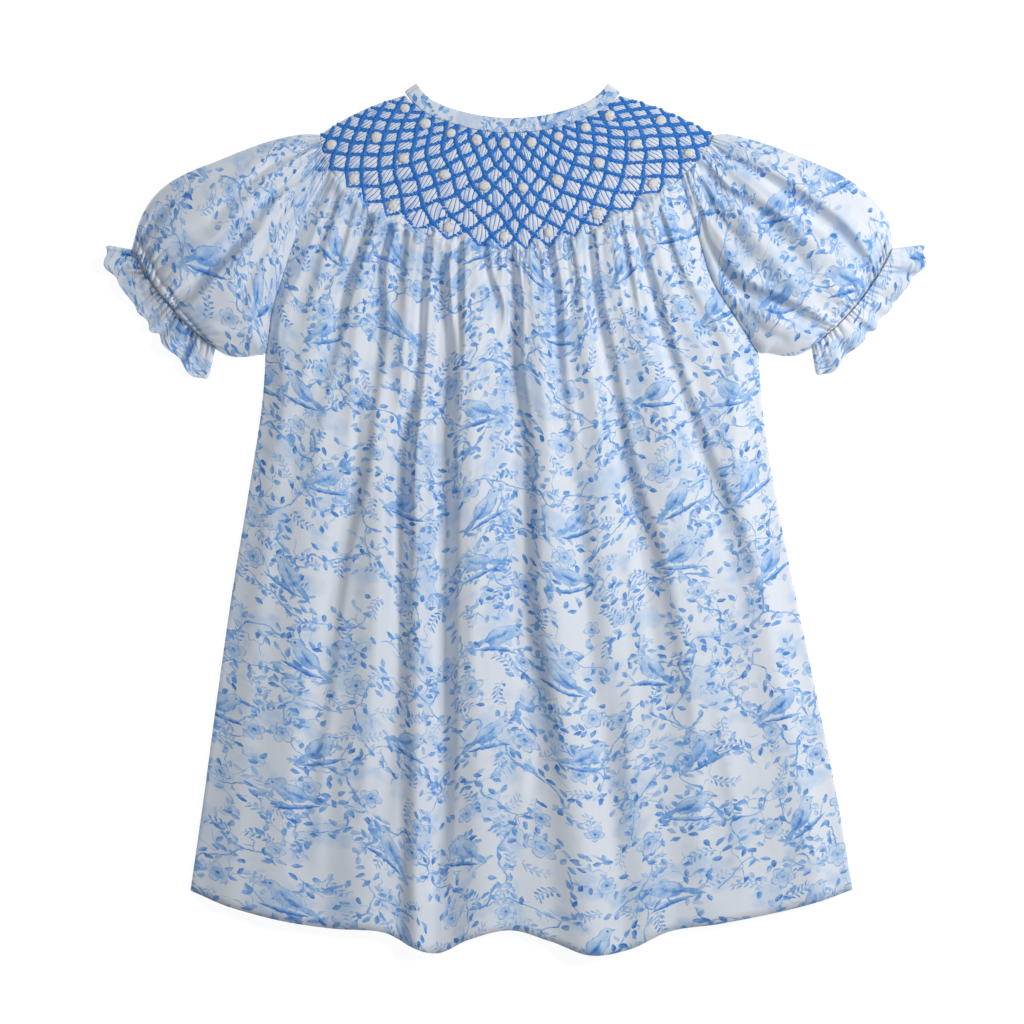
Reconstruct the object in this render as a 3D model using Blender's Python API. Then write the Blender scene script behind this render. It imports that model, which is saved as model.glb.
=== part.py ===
"""A child's bishop dress with a smocked yoke and puff sleeves, laid flat on its back.

The table is z = 0, +Y points from the hem to the neck and +X to the dress's left sleeve as seen
from above. Every piece of cloth is its own closed wall, parted from its neighbours at the seams.
"""
import math

import bmesh
import bpy
from mathutils import Vector

MM = 0.001
COLLECTION = "smocked_dress"

# Cloth and seams, in millimetres
WALL = 1.4
SEAM_GAP = 0.3
SEAM_ROOM = 0.45
FRONT_REST = WALL + SEAM_GAP
FRONT_TOP = FRONT_REST + WALL
STEEPEST_WALL = 1.9

# Neckline, in millimetres
NECK_HALF_WIDTH = 62.6
NECK_TIP_Y = 255.8
NECK_DROP = 18.2
NECK_CENTRE_X = -2.4
BINDING_WIDTH = 8.8
BINDING_THICKNESS = 1.7
BINDING_LIFT = 1.2

# Smocked yoke, in millimetres
YOKE_CENTRE_X = 0.6
YOKE_HALF_WIDTH = 118.0
YOKE_SHOULDER_Y = 232.0
YOKE_DROP = 69.5
YOKE_ROUNDNESS_LEFT = 1.85
YOKE_ROUNDNESS_RIGHT = 1.45
YOKE_LOFT = 2.6
DIAMONDS_ROUND = 19
DIAMONDS_DEEP = 5
POINTS_PER_DIAMOND = 4
LATTICE_RISE = 0.9
DIAMOND_PUFF = 0.35
KNOT_RISE = 2.2

# The part of the yoke's edge that each panel is gathered onto, from 0 at the left shoulder to 1
SKIRT_FROM = 0.1
SKIRT_TO = 0.84

# Gathers and puff
SKIRT_GATHERS = 28
GATHER_RISE = 5.0
GATHER_FADE = 0.25
SKIRT_LOFT = 2.2
COLUMN_DRIFT = 0.0028
PUFF_RISE = 17.0
HEAD_GATHERS = 6
HEAD_RISE = 2.2
CUFF_GATHERS = 12
CUFF_RISE = 2.6
CUFF_LOFT = 3.2
FRILL_FLUTES = 7
FLUTE_RISE = 6.0
FLUTE_REACH = 1.6

# Side lines of the body below the yoke's edge; the first five rows end the raglan seams
BODY_SIDES = [
    # left x, left y, right x, right y
    (-119.7, 195.6, 104.7, 187.8),
    (-129.3, 177.6, 110.7, 168.6),
    (-138.9, 149.4, 118.5, 144.6),
    (-146.1, 126.6, 131.7, 123.6),
    (-149.7, 102.6, 144.9, 102.6),
    (-152.7, 66.6, 148.5, 66.6),
    (-161.1, 12.6, 156.9, 12.6),
    (-170.7, -45.6, 168.9, -47.4),
    (-180.3, -113.4, 182.7, -113.4),
    (-187.5, -167.4, 193.5, -167.4),
    (-195.3, -222.0, 202.5, -221.4),
]
RAGLAN_ROWS = 5

# Edge of the front hem, from side seam to side seam
HEM_EDGE = [
    # x, y
    (-195.3, -222.0),
    (-171.3, -231.6),
    (-141.3, -239.4),
    (-111.3, -244.2),
    (-81.3, -246.0),
    (-63.3, -254.4),
    (-46.5, -259.2),
    (-27.3, -250.8),
    (-3.3, -245.4),
    (20.7, -252.0),
    (45.9, -260.4),
    (68.7, -256.8),
    (92.7, -246.0),
    (122.7, -241.4),
    (158.7, -234.4),
    (182.7, -228.0),
    (202.5, -221.4),
]
BACK_HEM_LIFT = 5.0

# Main folds of the front, as shares of its width, with heights in millimetres
SKIRT_FOLDS = [
    # share at top, share at middle, share at hem, half width, rise at top, at middle, at hem, lean
    (0.03, 0.055, 0.060, 0.045, 2.0, 2.5, 0.5, 0.1),
    (0.085, 0.163, 0.145, 0.055, 3.0, 4.5, 4.0, 0.2),
    (0.18, 0.252, 0.228, 0.060, 3.0, 6.0, 5.0, 0.2),
    (0.285, 0.338, 0.335, 0.040, 3.0, 6.5, 8.0, 0.3),
    (0.41, 0.431, 0.465, 0.055, 4.5, 10.0, 5.5, 0.4),
    (0.50, 0.500, 0.545, 0.030, 2.0, 3.0, 2.5, 0.1),
    (0.61, 0.578, 0.620, 0.060, 4.5, 9.5, 8.5, 0.4),
    (0.72, 0.675, 0.710, 0.045, 3.0, 4.0, 2.5, 0.2),
    (0.82, 0.770, 0.795, 0.055, 3.0, 6.0, 3.5, 0.3),
    (0.92, 0.885, 0.900, 0.050, 3.0, 4.5, 1.5, 0.2),
]
FOLD_MIDDLE = 0.45

# Sleeves: the outer line over the shoulder, and the lower line from the underarm to the cuff
LEFT_SLEEVE_TOP = [
    # x, y
    (-129.3, 232.2),
    (-148.5, 228.0),
    (-165.3, 222.0),
    (-181.5, 215.4),
    (-195.3, 210.0),
    (-208.5, 202.8),
    (-218.7, 193.2),
    (-225.9, 180.0),
    (-230.7, 163.2),
]
LEFT_PUFF_LINE = [
    # x, y
    (-155.7, 99.6),
    (-165.3, 98.4),
    (-173.7, 99.6),
    (-180.3, 103.8),
]
RIGHT_SLEEVE_TOP = [
    # x, y
    (128.7, 232.2),
    (146.7, 227.8),
    (163.5, 222.0),
    (179.1, 215.4),
    (192.9, 209.4),
    (205.5, 201.4),
    (216.3, 191.4),
    (224.1, 179.4),
    (226.5, 163.8),
]
RIGHT_PUFF_LINE = [
    # x, y
    (152.1, 100.8),
    (162.9, 99.0),
    (171.3, 100.2),
    (177.9, 104.4),
]
CUFF_BOW = 5.0

# Frills below the cuffs: their four corners and how far the outer edge bows out
LEFT_FRILL_CORNERS = ((-246.6, 166.2), (-184.6, 84.4))
RIGHT_FRILL_CORNERS = ((246.6, 166.2), (180.6, 87.0))
FRILL_BOW = 8.5

# How far the puff has risen along the sleeve, from the yoke to the cuff
PUFF_PROFILE = [
    # share of the length, share of the rise
    (0.00, 0.06),
    (0.12, 0.30),
    (0.30, 0.66),
    (0.55, 0.95),
    (0.72, 1.00),
    (0.88, 0.78),
    (1.00, 0.10),
]
SLEEVE_FOLDS = [
    # share at head, share at cuff, half width, rise
    (0.16, 0.22, 0.10, 2.0),
    (0.36, 0.42, 0.12, 3.2),
    (0.62, 0.60, 0.12, 3.4),
    (0.84, 0.80, 0.10, 2.2),
]

# Colours as linear shares of red, green and blue
PRINTED_COTTON = (0.62, 0.71, 0.85, 1.0)
SHADED_COTTON = (0.52, 0.61, 0.76, 1.0)
SMOCKED_COTTON = (0.17, 0.36, 0.72, 1.0)
BOUND_EDGE = (0.50, 0.62, 0.82, 1.0)


def mix(first, second, share):
    """The value a share of the way from the first to the second."""
    return first + (second - first) * share


def smooth(share):
    """A soft step from 0 to 1."""
    share = min(1.0, max(0.0, share))
    return share * share * (3.0 - 2.0 * share)


def along(points, share):
    """The point at a share of a broken line whose knots are evenly counted."""
    place = share * (len(points) - 1)
    knot = min(int(place), len(points) - 2)
    return Vector(points[knot]).lerp(Vector(points[knot + 1]), place - knot)


def table_value(rows, share):
    """The value that a two-column table gives at a share, eased between its rows."""
    for (start, low), (end, high) in zip(rows, rows[1:]):
        if share <= end:
            return mix(low, high, smooth((share - start) / (end - start)))
    return rows[-1][1]


def bowed(start, end, bow, share):
    """A point on a shallow arch from start to end that stands out by the bow, to its right."""
    start = Vector(start)
    end = Vector(end)
    chord = (end - start).normalized()
    outward = Vector((-chord.y, chord.x))
    return start.lerp(end, share) + outward * (4.0 * bow * share * (1.0 - share))


def patch(top, bottom, left, right, s, v, row_share):
    """A point of the sheet stretched between four edges, after Coons."""
    corner_left = left(0.0).lerp(left(1.0), v)
    corner_right = right(0.0).lerp(right(1.0), v)
    across = top(s).lerp(bottom(s), v)
    pull_left = (left(row_share) - corner_left) * (1.0 - s)
    pull_right = (right(row_share) - corner_right) * s
    return across + pull_left + pull_right


def neck_line(share, offset):
    """The neckline, a round arc from tip to tip, moved up into the neck by the offset."""
    radius = (NECK_HALF_WIDTH ** 2 + NECK_DROP ** 2) / (2.0 * NECK_DROP)
    reach = math.asin(NECK_HALF_WIDTH / radius)
    angle = mix(-reach, reach, share)
    centre_y = NECK_TIP_Y - NECK_DROP + radius
    x = NECK_CENTRE_X + (radius - offset) * math.sin(angle)
    return Vector((x, centre_y - (radius - offset) * math.cos(angle)))


def neck_seam(share):
    """The edge where the yoke meets the binding."""
    return neck_line(share, -0.5 * BINDING_WIDTH - SEAM_GAP)


def yoke_edge(share):
    """The lower edge of the smocking, from the left shoulder fold to the right one."""
    angle = math.pi * (1.0 - share)
    roundness = mix(YOKE_ROUNDNESS_LEFT, YOKE_ROUNDNESS_RIGHT, smooth(2.0 * share - 0.5))
    drop = abs(math.sin(angle)) ** (2.0 / roundness)
    wide = math.cos(angle)
    wide = math.copysign(abs(wide) ** (2.0 / roundness), wide)
    x = YOKE_CENTRE_X + YOKE_HALF_WIDTH * wide
    return Vector((x, YOKE_SHOULDER_Y - YOKE_DROP * drop))


def body_side(side, rows):
    """One side line of the body, from the yoke's edge down a number of rows."""
    if side == "left":
        line = [(left_x, left_y) for left_x, left_y, right_x, right_y in BODY_SIDES[:rows]]
        return [tuple(yoke_edge(SKIRT_FROM))] + line
    line = [(right_x, right_y) for left_x, left_y, right_x, right_y in BODY_SIDES[:rows]]
    return [tuple(yoke_edge(SKIRT_TO))] + line


def lengths_along(first, second):
    """The share of the way down at each row of two side lines, by their mean length."""
    total = [0.0]
    for row in range(1, len(first)):
        step = (Vector(first[row]) - Vector(first[row - 1])).length
        step += (Vector(second[row]) - Vector(second[row - 1])).length
        total.append(total[-1] + step)
    return [length / total[-1] for length in total]


def join_rows(bm, first, second):
    """Fill the strip between two rows of points, which may be counted unlike."""
    a = 0
    b = 0
    if len(first) == len(second):
        for column in range(len(first) - 1):
            bm.faces.new((first[column], first[column + 1], second[column + 1], second[column]))
        return
    while a < len(first) - 1 or b < len(second) - 1:
        next_a = (a + 1) / (len(first) - 1)
        next_b = (b + 1) / (len(second) - 1)
        if b == len(second) - 1 or (a < len(first) - 1 and next_a <= next_b):
            bm.faces.new((first[a], first[a + 1], second[b]))
            a += 1
        else:
            bm.faces.new((first[a], second[b + 1], second[b]))
            b += 1


def close_rim(bm, outer, inner):
    """Join the borders of a wall's outer and inner skins."""
    join_rows(bm, outer[0], inner[0])
    join_rows(bm, outer[-1], inner[-1])
    join_rows(bm, [row[0] for row in outer], [row[0] for row in inner])
    join_rows(bm, [row[-1] for row in outer], [row[-1] for row in inner])


def add_rows(bm, points):
    """Make a vertex of each point in rows of points given in millimetres."""
    return [[bm.verts.new(point * MM) for point in row] for row in points]


def finish_mesh(bm, name, colour, roughness):
    """Turn a closed bmesh into a named object with its own material."""
    bmesh.ops.recalc_face_normals(bm, faces=bm.faces)
    mesh = bpy.data.meshes.new(name)
    bm.to_mesh(mesh)
    bm.free()
    obj = bpy.data.objects.new(name, mesh)
    dress.objects.link(obj)
    mesh.materials.append(cloth_material(name, colour, roughness))
    return obj


def cloth_material(name, colour, roughness):
    """One cloth finish for one piece."""
    material = bpy.data.materials.new(name + "_cloth")
    material.use_nodes = True
    shader = material.node_tree.nodes["Principled BSDF"]
    shader.inputs["Base Color"].default_value = colour
    shader.inputs["Roughness"].default_value = roughness
    shader.inputs["Metallic"].default_value = 0.0
    return material


def wall_below(outer):
    """The inner skin of a wall: its outer points let down by the wall's upright thickness."""
    inner = []
    for r, row in enumerate(outer):
        line = []
        for c, point in enumerate(row):
            left = row[max(c - 1, 0)]
            right = row[min(c + 1, len(row) - 1)]
            run = (right.xy - left.xy).length
            slope = abs(right.z - left.z) / max(run, 0.5)
            upright = WALL * min(math.sqrt(1.0 + slope * slope), STEEPEST_WALL)
            line.append(Vector((point.x, point.y, max(point.z - upright, FRONT_REST))))
        inner.append(line)
    return inner


def cloth_panel(name, outer, colour, inner=None):
    """A wall of cloth between its outer rows and the rows below them."""
    bm = bmesh.new()
    top = add_rows(bm, outer)
    under = add_rows(bm, inner or wall_below(outer))
    for rows in (top, under):
        for first, second in zip(rows, rows[1:]):
            join_rows(bm, first, second)
    close_rim(bm, top, under)
    return finish_mesh(bm, name, colour, 0.75)


def flat_panel(name, outline, colour):
    """A flat back panel that lies on the table, cut to an outline."""
    curve = bpy.data.curves.new(name, "CURVE")
    curve.dimensions = "2D"
    curve.fill_mode = "BOTH"
    curve.extrude = 0.5 * WALL * MM
    spline = curve.splines.new("POLY")
    spline.points.add(len(outline) - 1)
    spline.use_cyclic_u = True
    for control, point in zip(spline.points, outline):
        control.co = (point.x * MM, point.y * MM, 0.0, 1.0)
    obj = bpy.data.objects.new(name, curve)
    obj.location.z = 0.5 * WALL * MM
    dress.objects.link(obj)
    curve.materials.append(cloth_material(name, colour, 0.75))
    return obj


def inset_share(count, index, length):
    """A share along an edge of about this length, with half a seam's gap kept at both ends."""
    edge = 0.5 * SEAM_ROOM / length
    return mix(edge, 1.0 - edge, index / count)


def skirt_point(s, row, front):
    """A point of the body panel at a share of its width and a row of its side lines."""
    left_line = body_side("left", len(BODY_SIDES))
    right_line = body_side("right", len(BODY_SIDES))
    shares = lengths_along(left_line, right_line)
    last = len(shares) - 1
    knot = min(int(row), last - 1)
    v = mix(shares[knot], shares[knot + 1], row - knot)
    lift = Vector((0.0, 0.0 if front else BACK_HEM_LIFT))
    point = patch(
        lambda share: yoke_edge(mix(SKIRT_FROM, SKIRT_TO, share)),
        lambda share: along(HEM_EDGE, share),
        lambda share: along(left_line, share),
        lambda share: along(right_line, share),
        s, v, row / last)
    return point + lift * smooth(v) * math.sin(math.pi * s), v


def fold_height(s, v):
    """Height of the main folds of the front, and how far they lean to the left."""
    height = 0.0
    lean = 0.0
    for top, middle, hem, half_width, rise_top, rise_middle, rise_hem, tilt in SKIRT_FOLDS:
        if v < FOLD_MIDDLE:
            part = smooth(v / FOLD_MIDDLE)
            centre = mix(top, middle, part)
            rise = mix(rise_top, rise_middle, part)
        else:
            part = smooth((v - FOLD_MIDDLE) / (1.0 - FOLD_MIDDLE))
            centre = mix(middle, hem, part)
            rise = mix(rise_middle, rise_hem, part)
        away = (s - centre) / half_width
        if abs(away) < 1.0:
            bump = rise * math.cos(0.5 * math.pi * away) ** 2
            height += bump
            lean += bump * tilt
    return height, lean


def skirt_height(s, v):
    """Height of the front body above the lying cloth, and its lean."""
    edge = smooth(min(s, 1.0 - s) / 0.07)
    folds, lean = fold_height(s, v)
    fade = max(0.0, 1.0 - v / GATHER_FADE)
    unlike = 0.8 + 0.2 * math.sin(9.0 * s + 1.0)
    gather = 0.5 + 0.5 * math.cos(2.0 * math.pi * SKIRT_GATHERS * s)
    loft = SKIRT_LOFT * edge
    side_fade = smooth(min(s, 1.0 - s) / 0.03)
    height = loft + folds * edge + GATHER_RISE * gather * fade * unlike * side_fade
    return height, lean * edge


def front_skirt():
    """The front body panel: fine gathers under the yoke that run together into the main folds."""
    fine_columns = 4 * SKIRT_GATHERS
    coarse_columns = 2 * SKIRT_GATHERS
    last_row = len(BODY_SIDES)
    rows = [(0.004, fine_columns), (0.5, fine_columns), (1.0, fine_columns), (2.0, fine_columns)]
    rows.append((3.0, fine_columns))
    rows += [(float(row), coarse_columns) for row in range(4, last_row)]
    rows += [(last_row - 0.35, coarse_columns), (float(last_row), coarse_columns)]
    outer = []
    for row, columns in rows:
        line = []
        for column in range(columns + 1):
            s = inset_share(columns, column, 330.0)
            drift = COLUMN_DRIFT * math.sin(31.0 * s) * math.sin(math.pi * s)
            point, v = skirt_point(s + drift, row, True)
            height, lean = skirt_height(column / columns, v)
            line.append(Vector((point.x - lean, point.y, FRONT_TOP + height)))
        outer.append(line)
    return cloth_panel("front_skirt", outer, PRINTED_COTTON)


def back_skirt():
    """The back body panel, flat on the table."""
    last_row = len(BODY_SIDES)
    outline = [skirt_point(inset_share(30, i, 330.0), 0.004, False)[0] for i in range(31)]
    right = inset_share(1, 1, 330.0)
    left = inset_share(1, 0, 330.0)
    outline += [skirt_point(right, row, False)[0] for row in range(1, last_row)]
    outline += [skirt_point(inset_share(24, i, 330.0), last_row, False)[0] for i in range(24, -1, -1)]
    outline += [skirt_point(left, row, False)[0] for row in range(last_row - 1, 0, -1)]
    return flat_panel("back_skirt", outline, SHADED_COTTON)


def yoke_point(s, v):
    """A point of the yoke's ring, from the neck seam to the edge of the smocking."""
    left_fold = lambda share: bowed(neck_seam(0.0), yoke_edge(0.0), 1.6, share)
    right_fold = lambda share: bowed(neck_seam(1.0), yoke_edge(1.0), -1.6, share)
    return patch(neck_seam, yoke_edge, left_fold, right_fold, s, v, v)


def yoke_base(s, v):
    """Height of the yoke's outer side without its relief."""
    edge = smooth(min(s, 1.0 - s) / 0.12)
    return FRONT_TOP + 0.3 + YOKE_LOFT * edge * (0.55 + 0.45 * v)


def is_knot(column, row):
    """Whether this grid point is the middle of a diamond with a knot, in one of three rows of them."""
    place = column / POINTS_PER_DIAMOND
    depth = row / POINTS_PER_DIAMOND
    if depth == 0.5 or depth == DIAMONDS_DEEP - 0.5:
        return place % 2 == 1
    return depth == 0.5 * DIAMONDS_DEEP and place % 2 == 0


def lattice_relief(column, row):
    """Relief of the smocking at a grid point: raised thread lines, puffed diamonds and knots."""
    on_line = (column + row) % POINTS_PER_DIAMOND == 0 or (column - row) % POINTS_PER_DIAMOND == 0
    if on_line:
        return LATTICE_RISE
    half = POINTS_PER_DIAMOND // 2
    middle = column % half == 0 and row % half == 0
    if middle and is_knot(column, row):
        return KNOT_RISE
    return DIAMOND_PUFF if middle else 0.0


def join_lattice(bm, rows):
    """Fill the lattice so that the edges run along its raised lines."""
    for r, (first, second) in enumerate(zip(rows, rows[1:])):
        for c in range(len(first) - 1):
            a, b = first[c], first[c + 1]
            d, e = second[c], second[c + 1]
            if (c - r) % POINTS_PER_DIAMOND == 0:
                bm.faces.new((a, b, e))
                bm.faces.new((a, e, d))
            else:
                bm.faces.new((a, b, d))
                bm.faces.new((b, e, d))


def yoke_front():
    """The smocked ring on the front: a raised diamond lattice over a plain inside."""
    columns = DIAMONDS_ROUND * POINTS_PER_DIAMOND
    lines = DIAMONDS_DEEP * POINTS_PER_DIAMOND
    outer = []
    for row in range(lines + 1):
        v = inset_share(lines, row, 34.0)
        line = []
        for column in range(columns + 1):
            s = inset_share(columns, column, 190.0)
            point = yoke_point(s, v)
            border = column in (0, columns) or row in (0, lines)
            relief = 0.0 if border else lattice_relief(column, row)
            line.append(Vector((point.x, point.y, yoke_base(s, v) + relief)))
        outer.append(line)
    under = []
    for row in range(DIAMONDS_DEEP + 1):
        v = inset_share(DIAMONDS_DEEP, row, 34.0)
        line = []
        for column in range(DIAMONDS_ROUND + 1):
            s = inset_share(DIAMONDS_ROUND, column, 190.0)
            point = yoke_point(s, v)
            height = max(yoke_base(s, v) - WALL, FRONT_REST)
            line.append(Vector((point.x, point.y, height)))
        under.append(line)
    bm = bmesh.new()
    top_rows = add_rows(bm, outer)
    under_rows = add_rows(bm, under)
    join_lattice(bm, top_rows)
    for first, second in zip(under_rows, under_rows[1:]):
        join_rows(bm, first, second)
    close_rim(bm, top_rows, under_rows)
    return finish_mesh(bm, "yoke_front", SMOCKED_COTTON, 0.7)


def yoke_back():
    """The back half of the smocked ring, flat on the table."""
    low = inset_share(1, 0, 34.0)
    high = inset_share(1, 1, 34.0)
    shares = [inset_share(36, i, 190.0) for i in range(37)]
    outline = [yoke_point(s, low) for s in shares]
    outline += [yoke_point(s, high) for s in reversed(shares)]
    return flat_panel("yoke_back", outline, SMOCKED_COTTON)


def neck_binding():
    """The bias strip round the neckline: a flattened loop that folds over at both shoulders."""
    steps = 26
    fold_steps = 5
    low = 0.5 * BINDING_THICKNESS
    high = FRONT_REST + BINDING_LIFT + 0.5 * BINDING_THICKNESS
    middle = 0.5 * (low + high)
    radius = 0.5 * (high - low)
    path = []
    for i in range(steps + 1):
        path.append((neck_line(i / steps, 0.0), high, i / steps))
    for i in range(1, fold_steps):
        turn = math.pi * i / fold_steps
        out = (neck_line(1.0, 0.0) - neck_line(0.98, 0.0)).normalized() * radius * math.sin(turn)
        path.append((neck_line(1.0, 0.0) + out, middle + radius * math.cos(turn), 1.0))
    for i in range(steps, -1, -1):
        path.append((neck_line(i / steps, 0.0), low, i / steps))
    for i in range(1, fold_steps):
        turn = math.pi * i / fold_steps
        out = (neck_line(0.0, 0.0) - neck_line(0.02, 0.0)).normalized() * radius * math.sin(turn)
        path.append((neck_line(0.0, 0.0) + out, middle - radius * math.cos(turn), 0.0))
    bm = bmesh.new()
    rings = []
    for k, (place, height, share) in enumerate(path):
        before = path[k - 1]
        after = path[(k + 1) % len(path)]
        step = 0.01
        run = neck_line(min(share + step, 1.0), 0.0) - neck_line(max(share - step, 0.0), 0.0)
        run.normalize()
        across = Vector((-run.y, run.x, 0.0))
        travel = Vector((after[0].x - before[0].x, after[0].y - before[0].y, after[1] - before[1]))
        travel.normalize()
        outward = across.cross(travel)
        outward.normalize()
        centre = Vector((place.x, place.y, height))
        rings.append(binding_ring(bm, centre, across, outward))
    for first, second in zip(rings, rings[1:] + rings[:1]):
        join_rows(bm, first + first[:1], second + second[:1])
    return finish_mesh(bm, "neck_binding", BOUND_EDGE, 0.75)


def binding_ring(bm, centre, across, outward):
    """One section of the folded strip: flat sides and rolled edges."""
    half_width = 0.5 * BINDING_WIDTH
    half_thick = 0.5 * BINDING_THICKNESS
    section = [
        # share of half width, share of half thickness
        (-1.0, 0.0),
        (-0.88, 1.0),
        (0.88, 1.0),
        (1.0, 0.0),
        (0.88, -1.0),
        (-0.88, -1.0),
    ]
    ring = []
    for wide, thick in section:
        point = centre + across * (wide * half_width) + outward * (thick * half_thick)
        ring.append(bm.verts.new(point * MM))
    return ring


def sleeve_lines(side):
    """The outer line and the lower line of one sleeve, with as many knots each."""
    shoulder = 0.0 if side == "left" else 1.0
    top_line = LEFT_SLEEVE_TOP if side == "left" else RIGHT_SLEEVE_TOP
    puff_line = LEFT_PUFF_LINE if side == "left" else RIGHT_PUFF_LINE
    return [tuple(yoke_edge(shoulder))] + top_line, body_side(side, RAGLAN_ROWS) + puff_line


def head_edge(side, share):
    """The short stretch of the yoke's edge that the sleeve's front is gathered onto."""
    if side == "left":
        return yoke_edge(mix(0.0, SKIRT_FROM, share))
    return yoke_edge(mix(1.0, SKIRT_TO, share))


def cuff_line(side, share):
    """The gathered line of the elastic, from the outer line to the puff's lower end."""
    top_line, low_line = sleeve_lines(side)
    bow = -CUFF_BOW if side == "left" else CUFF_BOW
    return bowed(top_line[-1], low_line[-1], bow, share)


def sleeve_point(side, s, row):
    """A point of one sleeve at a share of its width and a row of its lines."""
    top_line, low_line = sleeve_lines(side)
    shares = lengths_along(top_line, low_line)
    last = len(shares) - 1
    knot = min(int(row), last - 1)
    v = mix(shares[knot], shares[knot + 1], row - knot)
    point = patch(
        lambda share: head_edge(side, share),
        lambda share: cuff_line(side, share),
        lambda share: along(top_line, share),
        lambda share: along(low_line, share),
        s, v, row / last)
    return point, v


def sleeve_height(s, v):
    """Height of a puffed sleeve: its dome, its long folds and the gathers at head and cuff."""
    dome = max(4.0 * s * (1.0 - s), 0.0) ** 0.62
    height = PUFF_RISE * table_value(PUFF_PROFILE, v) * dome
    edge = smooth(min(s, 1.0 - s) / 0.08)
    for head, cuff, half_width, rise in SLEEVE_FOLDS:
        away = (s - mix(head, cuff, v)) / half_width
        if abs(away) < 1.0:
            height += rise * math.sin(math.pi * v) * math.cos(0.5 * math.pi * away) ** 2
    head_fade = smooth(v / 0.05) * max(0.0, 1.0 - v / 0.5)
    head_wave = 0.5 + 0.5 * math.cos(2.0 * math.pi * HEAD_GATHERS * s)
    cuff_fade = smooth((v - 0.72) / 0.28)
    cuff_wave = 0.5 - 0.5 * math.cos(2.0 * math.pi * CUFF_GATHERS * s)
    height += edge * (0.6 + HEAD_RISE * head_wave * (0.3 + head_fade))
    height += CUFF_RISE * cuff_wave * cuff_fade * edge
    return height + CUFF_LOFT * dome * smooth((v - 0.5) * 2.0)


def sleeve_front(side, name):
    """The front of one puff sleeve."""
    columns = 2 * CUFF_GATHERS
    last_row = len(LEFT_SLEEVE_TOP)
    rows = [0.02, 0.5, 1.0, 1.5, 2.0, 3.0, 4.0, 5.0, 6.0, 7.0, 8.0, 8.5, last_row - 0.012]
    outer = []
    for row in rows:
        line = []
        for column in range(columns + 1):
            narrow = mix(24.0, 100.0, smooth(row / 3.0))
            s = inset_share(columns, column, narrow)
            point, v = sleeve_point(side, s, row)
            line.append(Vector((point.x, point.y, FRONT_TOP + sleeve_height(column / columns, v))))
        outer.append(line)
    return cloth_panel(name, outer, PRINTED_COTTON)


def sleeve_back(side, name):
    """The back of one sleeve, flat on the table."""
    last_row = len(LEFT_SLEEVE_TOP)
    inner_rows = [float(row) for row in range(1, last_row)]
    low_row = 0.02
    high_row = last_row - 0.012
    outline = [sleeve_point(side, inset_share(6, i, 24.0), low_row)[0] for i in range(7)]
    edge_high = inset_share(1, 1, 100.0)
    edge_low = inset_share(1, 0, 100.0)
    outline += [sleeve_point(side, edge_high, row)[0] for row in inner_rows]
    outline += [sleeve_point(side, inset_share(10, i, 100.0), high_row)[0] for i in range(10, -1, -1)]
    outline += [sleeve_point(side, edge_low, row)[0] for row in reversed(inner_rows)]
    if side == "right":
        outline.reverse()
    return flat_panel(name, outline, SHADED_COTTON)


def frill_point(side, s, v):
    """A point of a frill between the elastic and its outer edge."""
    corners = LEFT_FRILL_CORNERS if side == "left" else RIGHT_FRILL_CORNERS
    bow = -FRILL_BOW if side == "left" else FRILL_BOW
    start = cuff_line(side, s)
    end = bowed(corners[0], corners[1], bow, s)
    outward = (end - start).normalized()
    wave = FLUTE_REACH * math.cos(2.0 * math.pi * FRILL_FLUTES * s)
    return start.lerp(end, v) + outward * (wave * v)


def frill_height(s, v):
    """Height of the frill's flutes, which open towards its outer edge."""
    dome = max(4.0 * s * (1.0 - s), 0.0) ** 0.5
    flute = 0.5 + 0.5 * math.cos(2.0 * math.pi * FRILL_FLUTES * s)
    sizes = 0.8 + 0.2 * math.sin(11.0 * s)
    edge = smooth(min(s, 1.0 - s) / 0.03)
    return mix(CUFF_LOFT * dome, 1.2 * dome, v) + FLUTE_RISE * flute * sizes * (0.2 + 0.8 * v) * edge


def frill_front(side, name):
    """The front of one frill."""
    columns = 4 * FRILL_FLUTES
    lines = 3
    outer = []
    for row in range(lines + 1):
        v = inset_share(lines, row, 20.0)
        line = []
        for column in range(columns + 1):
            s = inset_share(columns, column, 80.0)
            point = frill_point(side, s, v)
            line.append(Vector((point.x, point.y, FRONT_TOP + frill_height(column / columns, v))))
        outer.append(line)
    return cloth_panel(name, outer, PRINTED_COTTON)


def frill_back(side, name):
    """The back of one frill, flat on the table."""
    low = inset_share(1, 0, 20.0)
    high = inset_share(1, 1, 20.0)
    columns = 2 * FRILL_FLUTES
    shares = [inset_share(columns, i, 80.0) for i in range(columns + 1)]
    outline = [frill_point(side, s, low) for s in shares]
    outline += [frill_point(side, s, high) for s in reversed(shares)]
    if side == "right":
        outline.reverse()
    return flat_panel(name, outline, SHADED_COTTON)


for old in list(bpy.data.objects):
    bpy.data.objects.remove(old, do_unlink=True)
dress = bpy.data.collections.new(COLLECTION)
bpy.context.scene.collection.children.link(dress)

back_skirt()
front_skirt()
yoke_back()
yoke_front()
neck_binding()
for sleeve_side in ("left", "right"):
    sleeve_back(sleeve_side, "sleeve_" + sleeve_side + "_back")
    sleeve_front(sleeve_side, "sleeve_" + sleeve_side + "_front")
    frill_back(sleeve_side, "frill_" + sleeve_side + "_back")
    frill_front(sleeve_side, "frill_" + sleeve_side + "_front")
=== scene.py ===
import math

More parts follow.
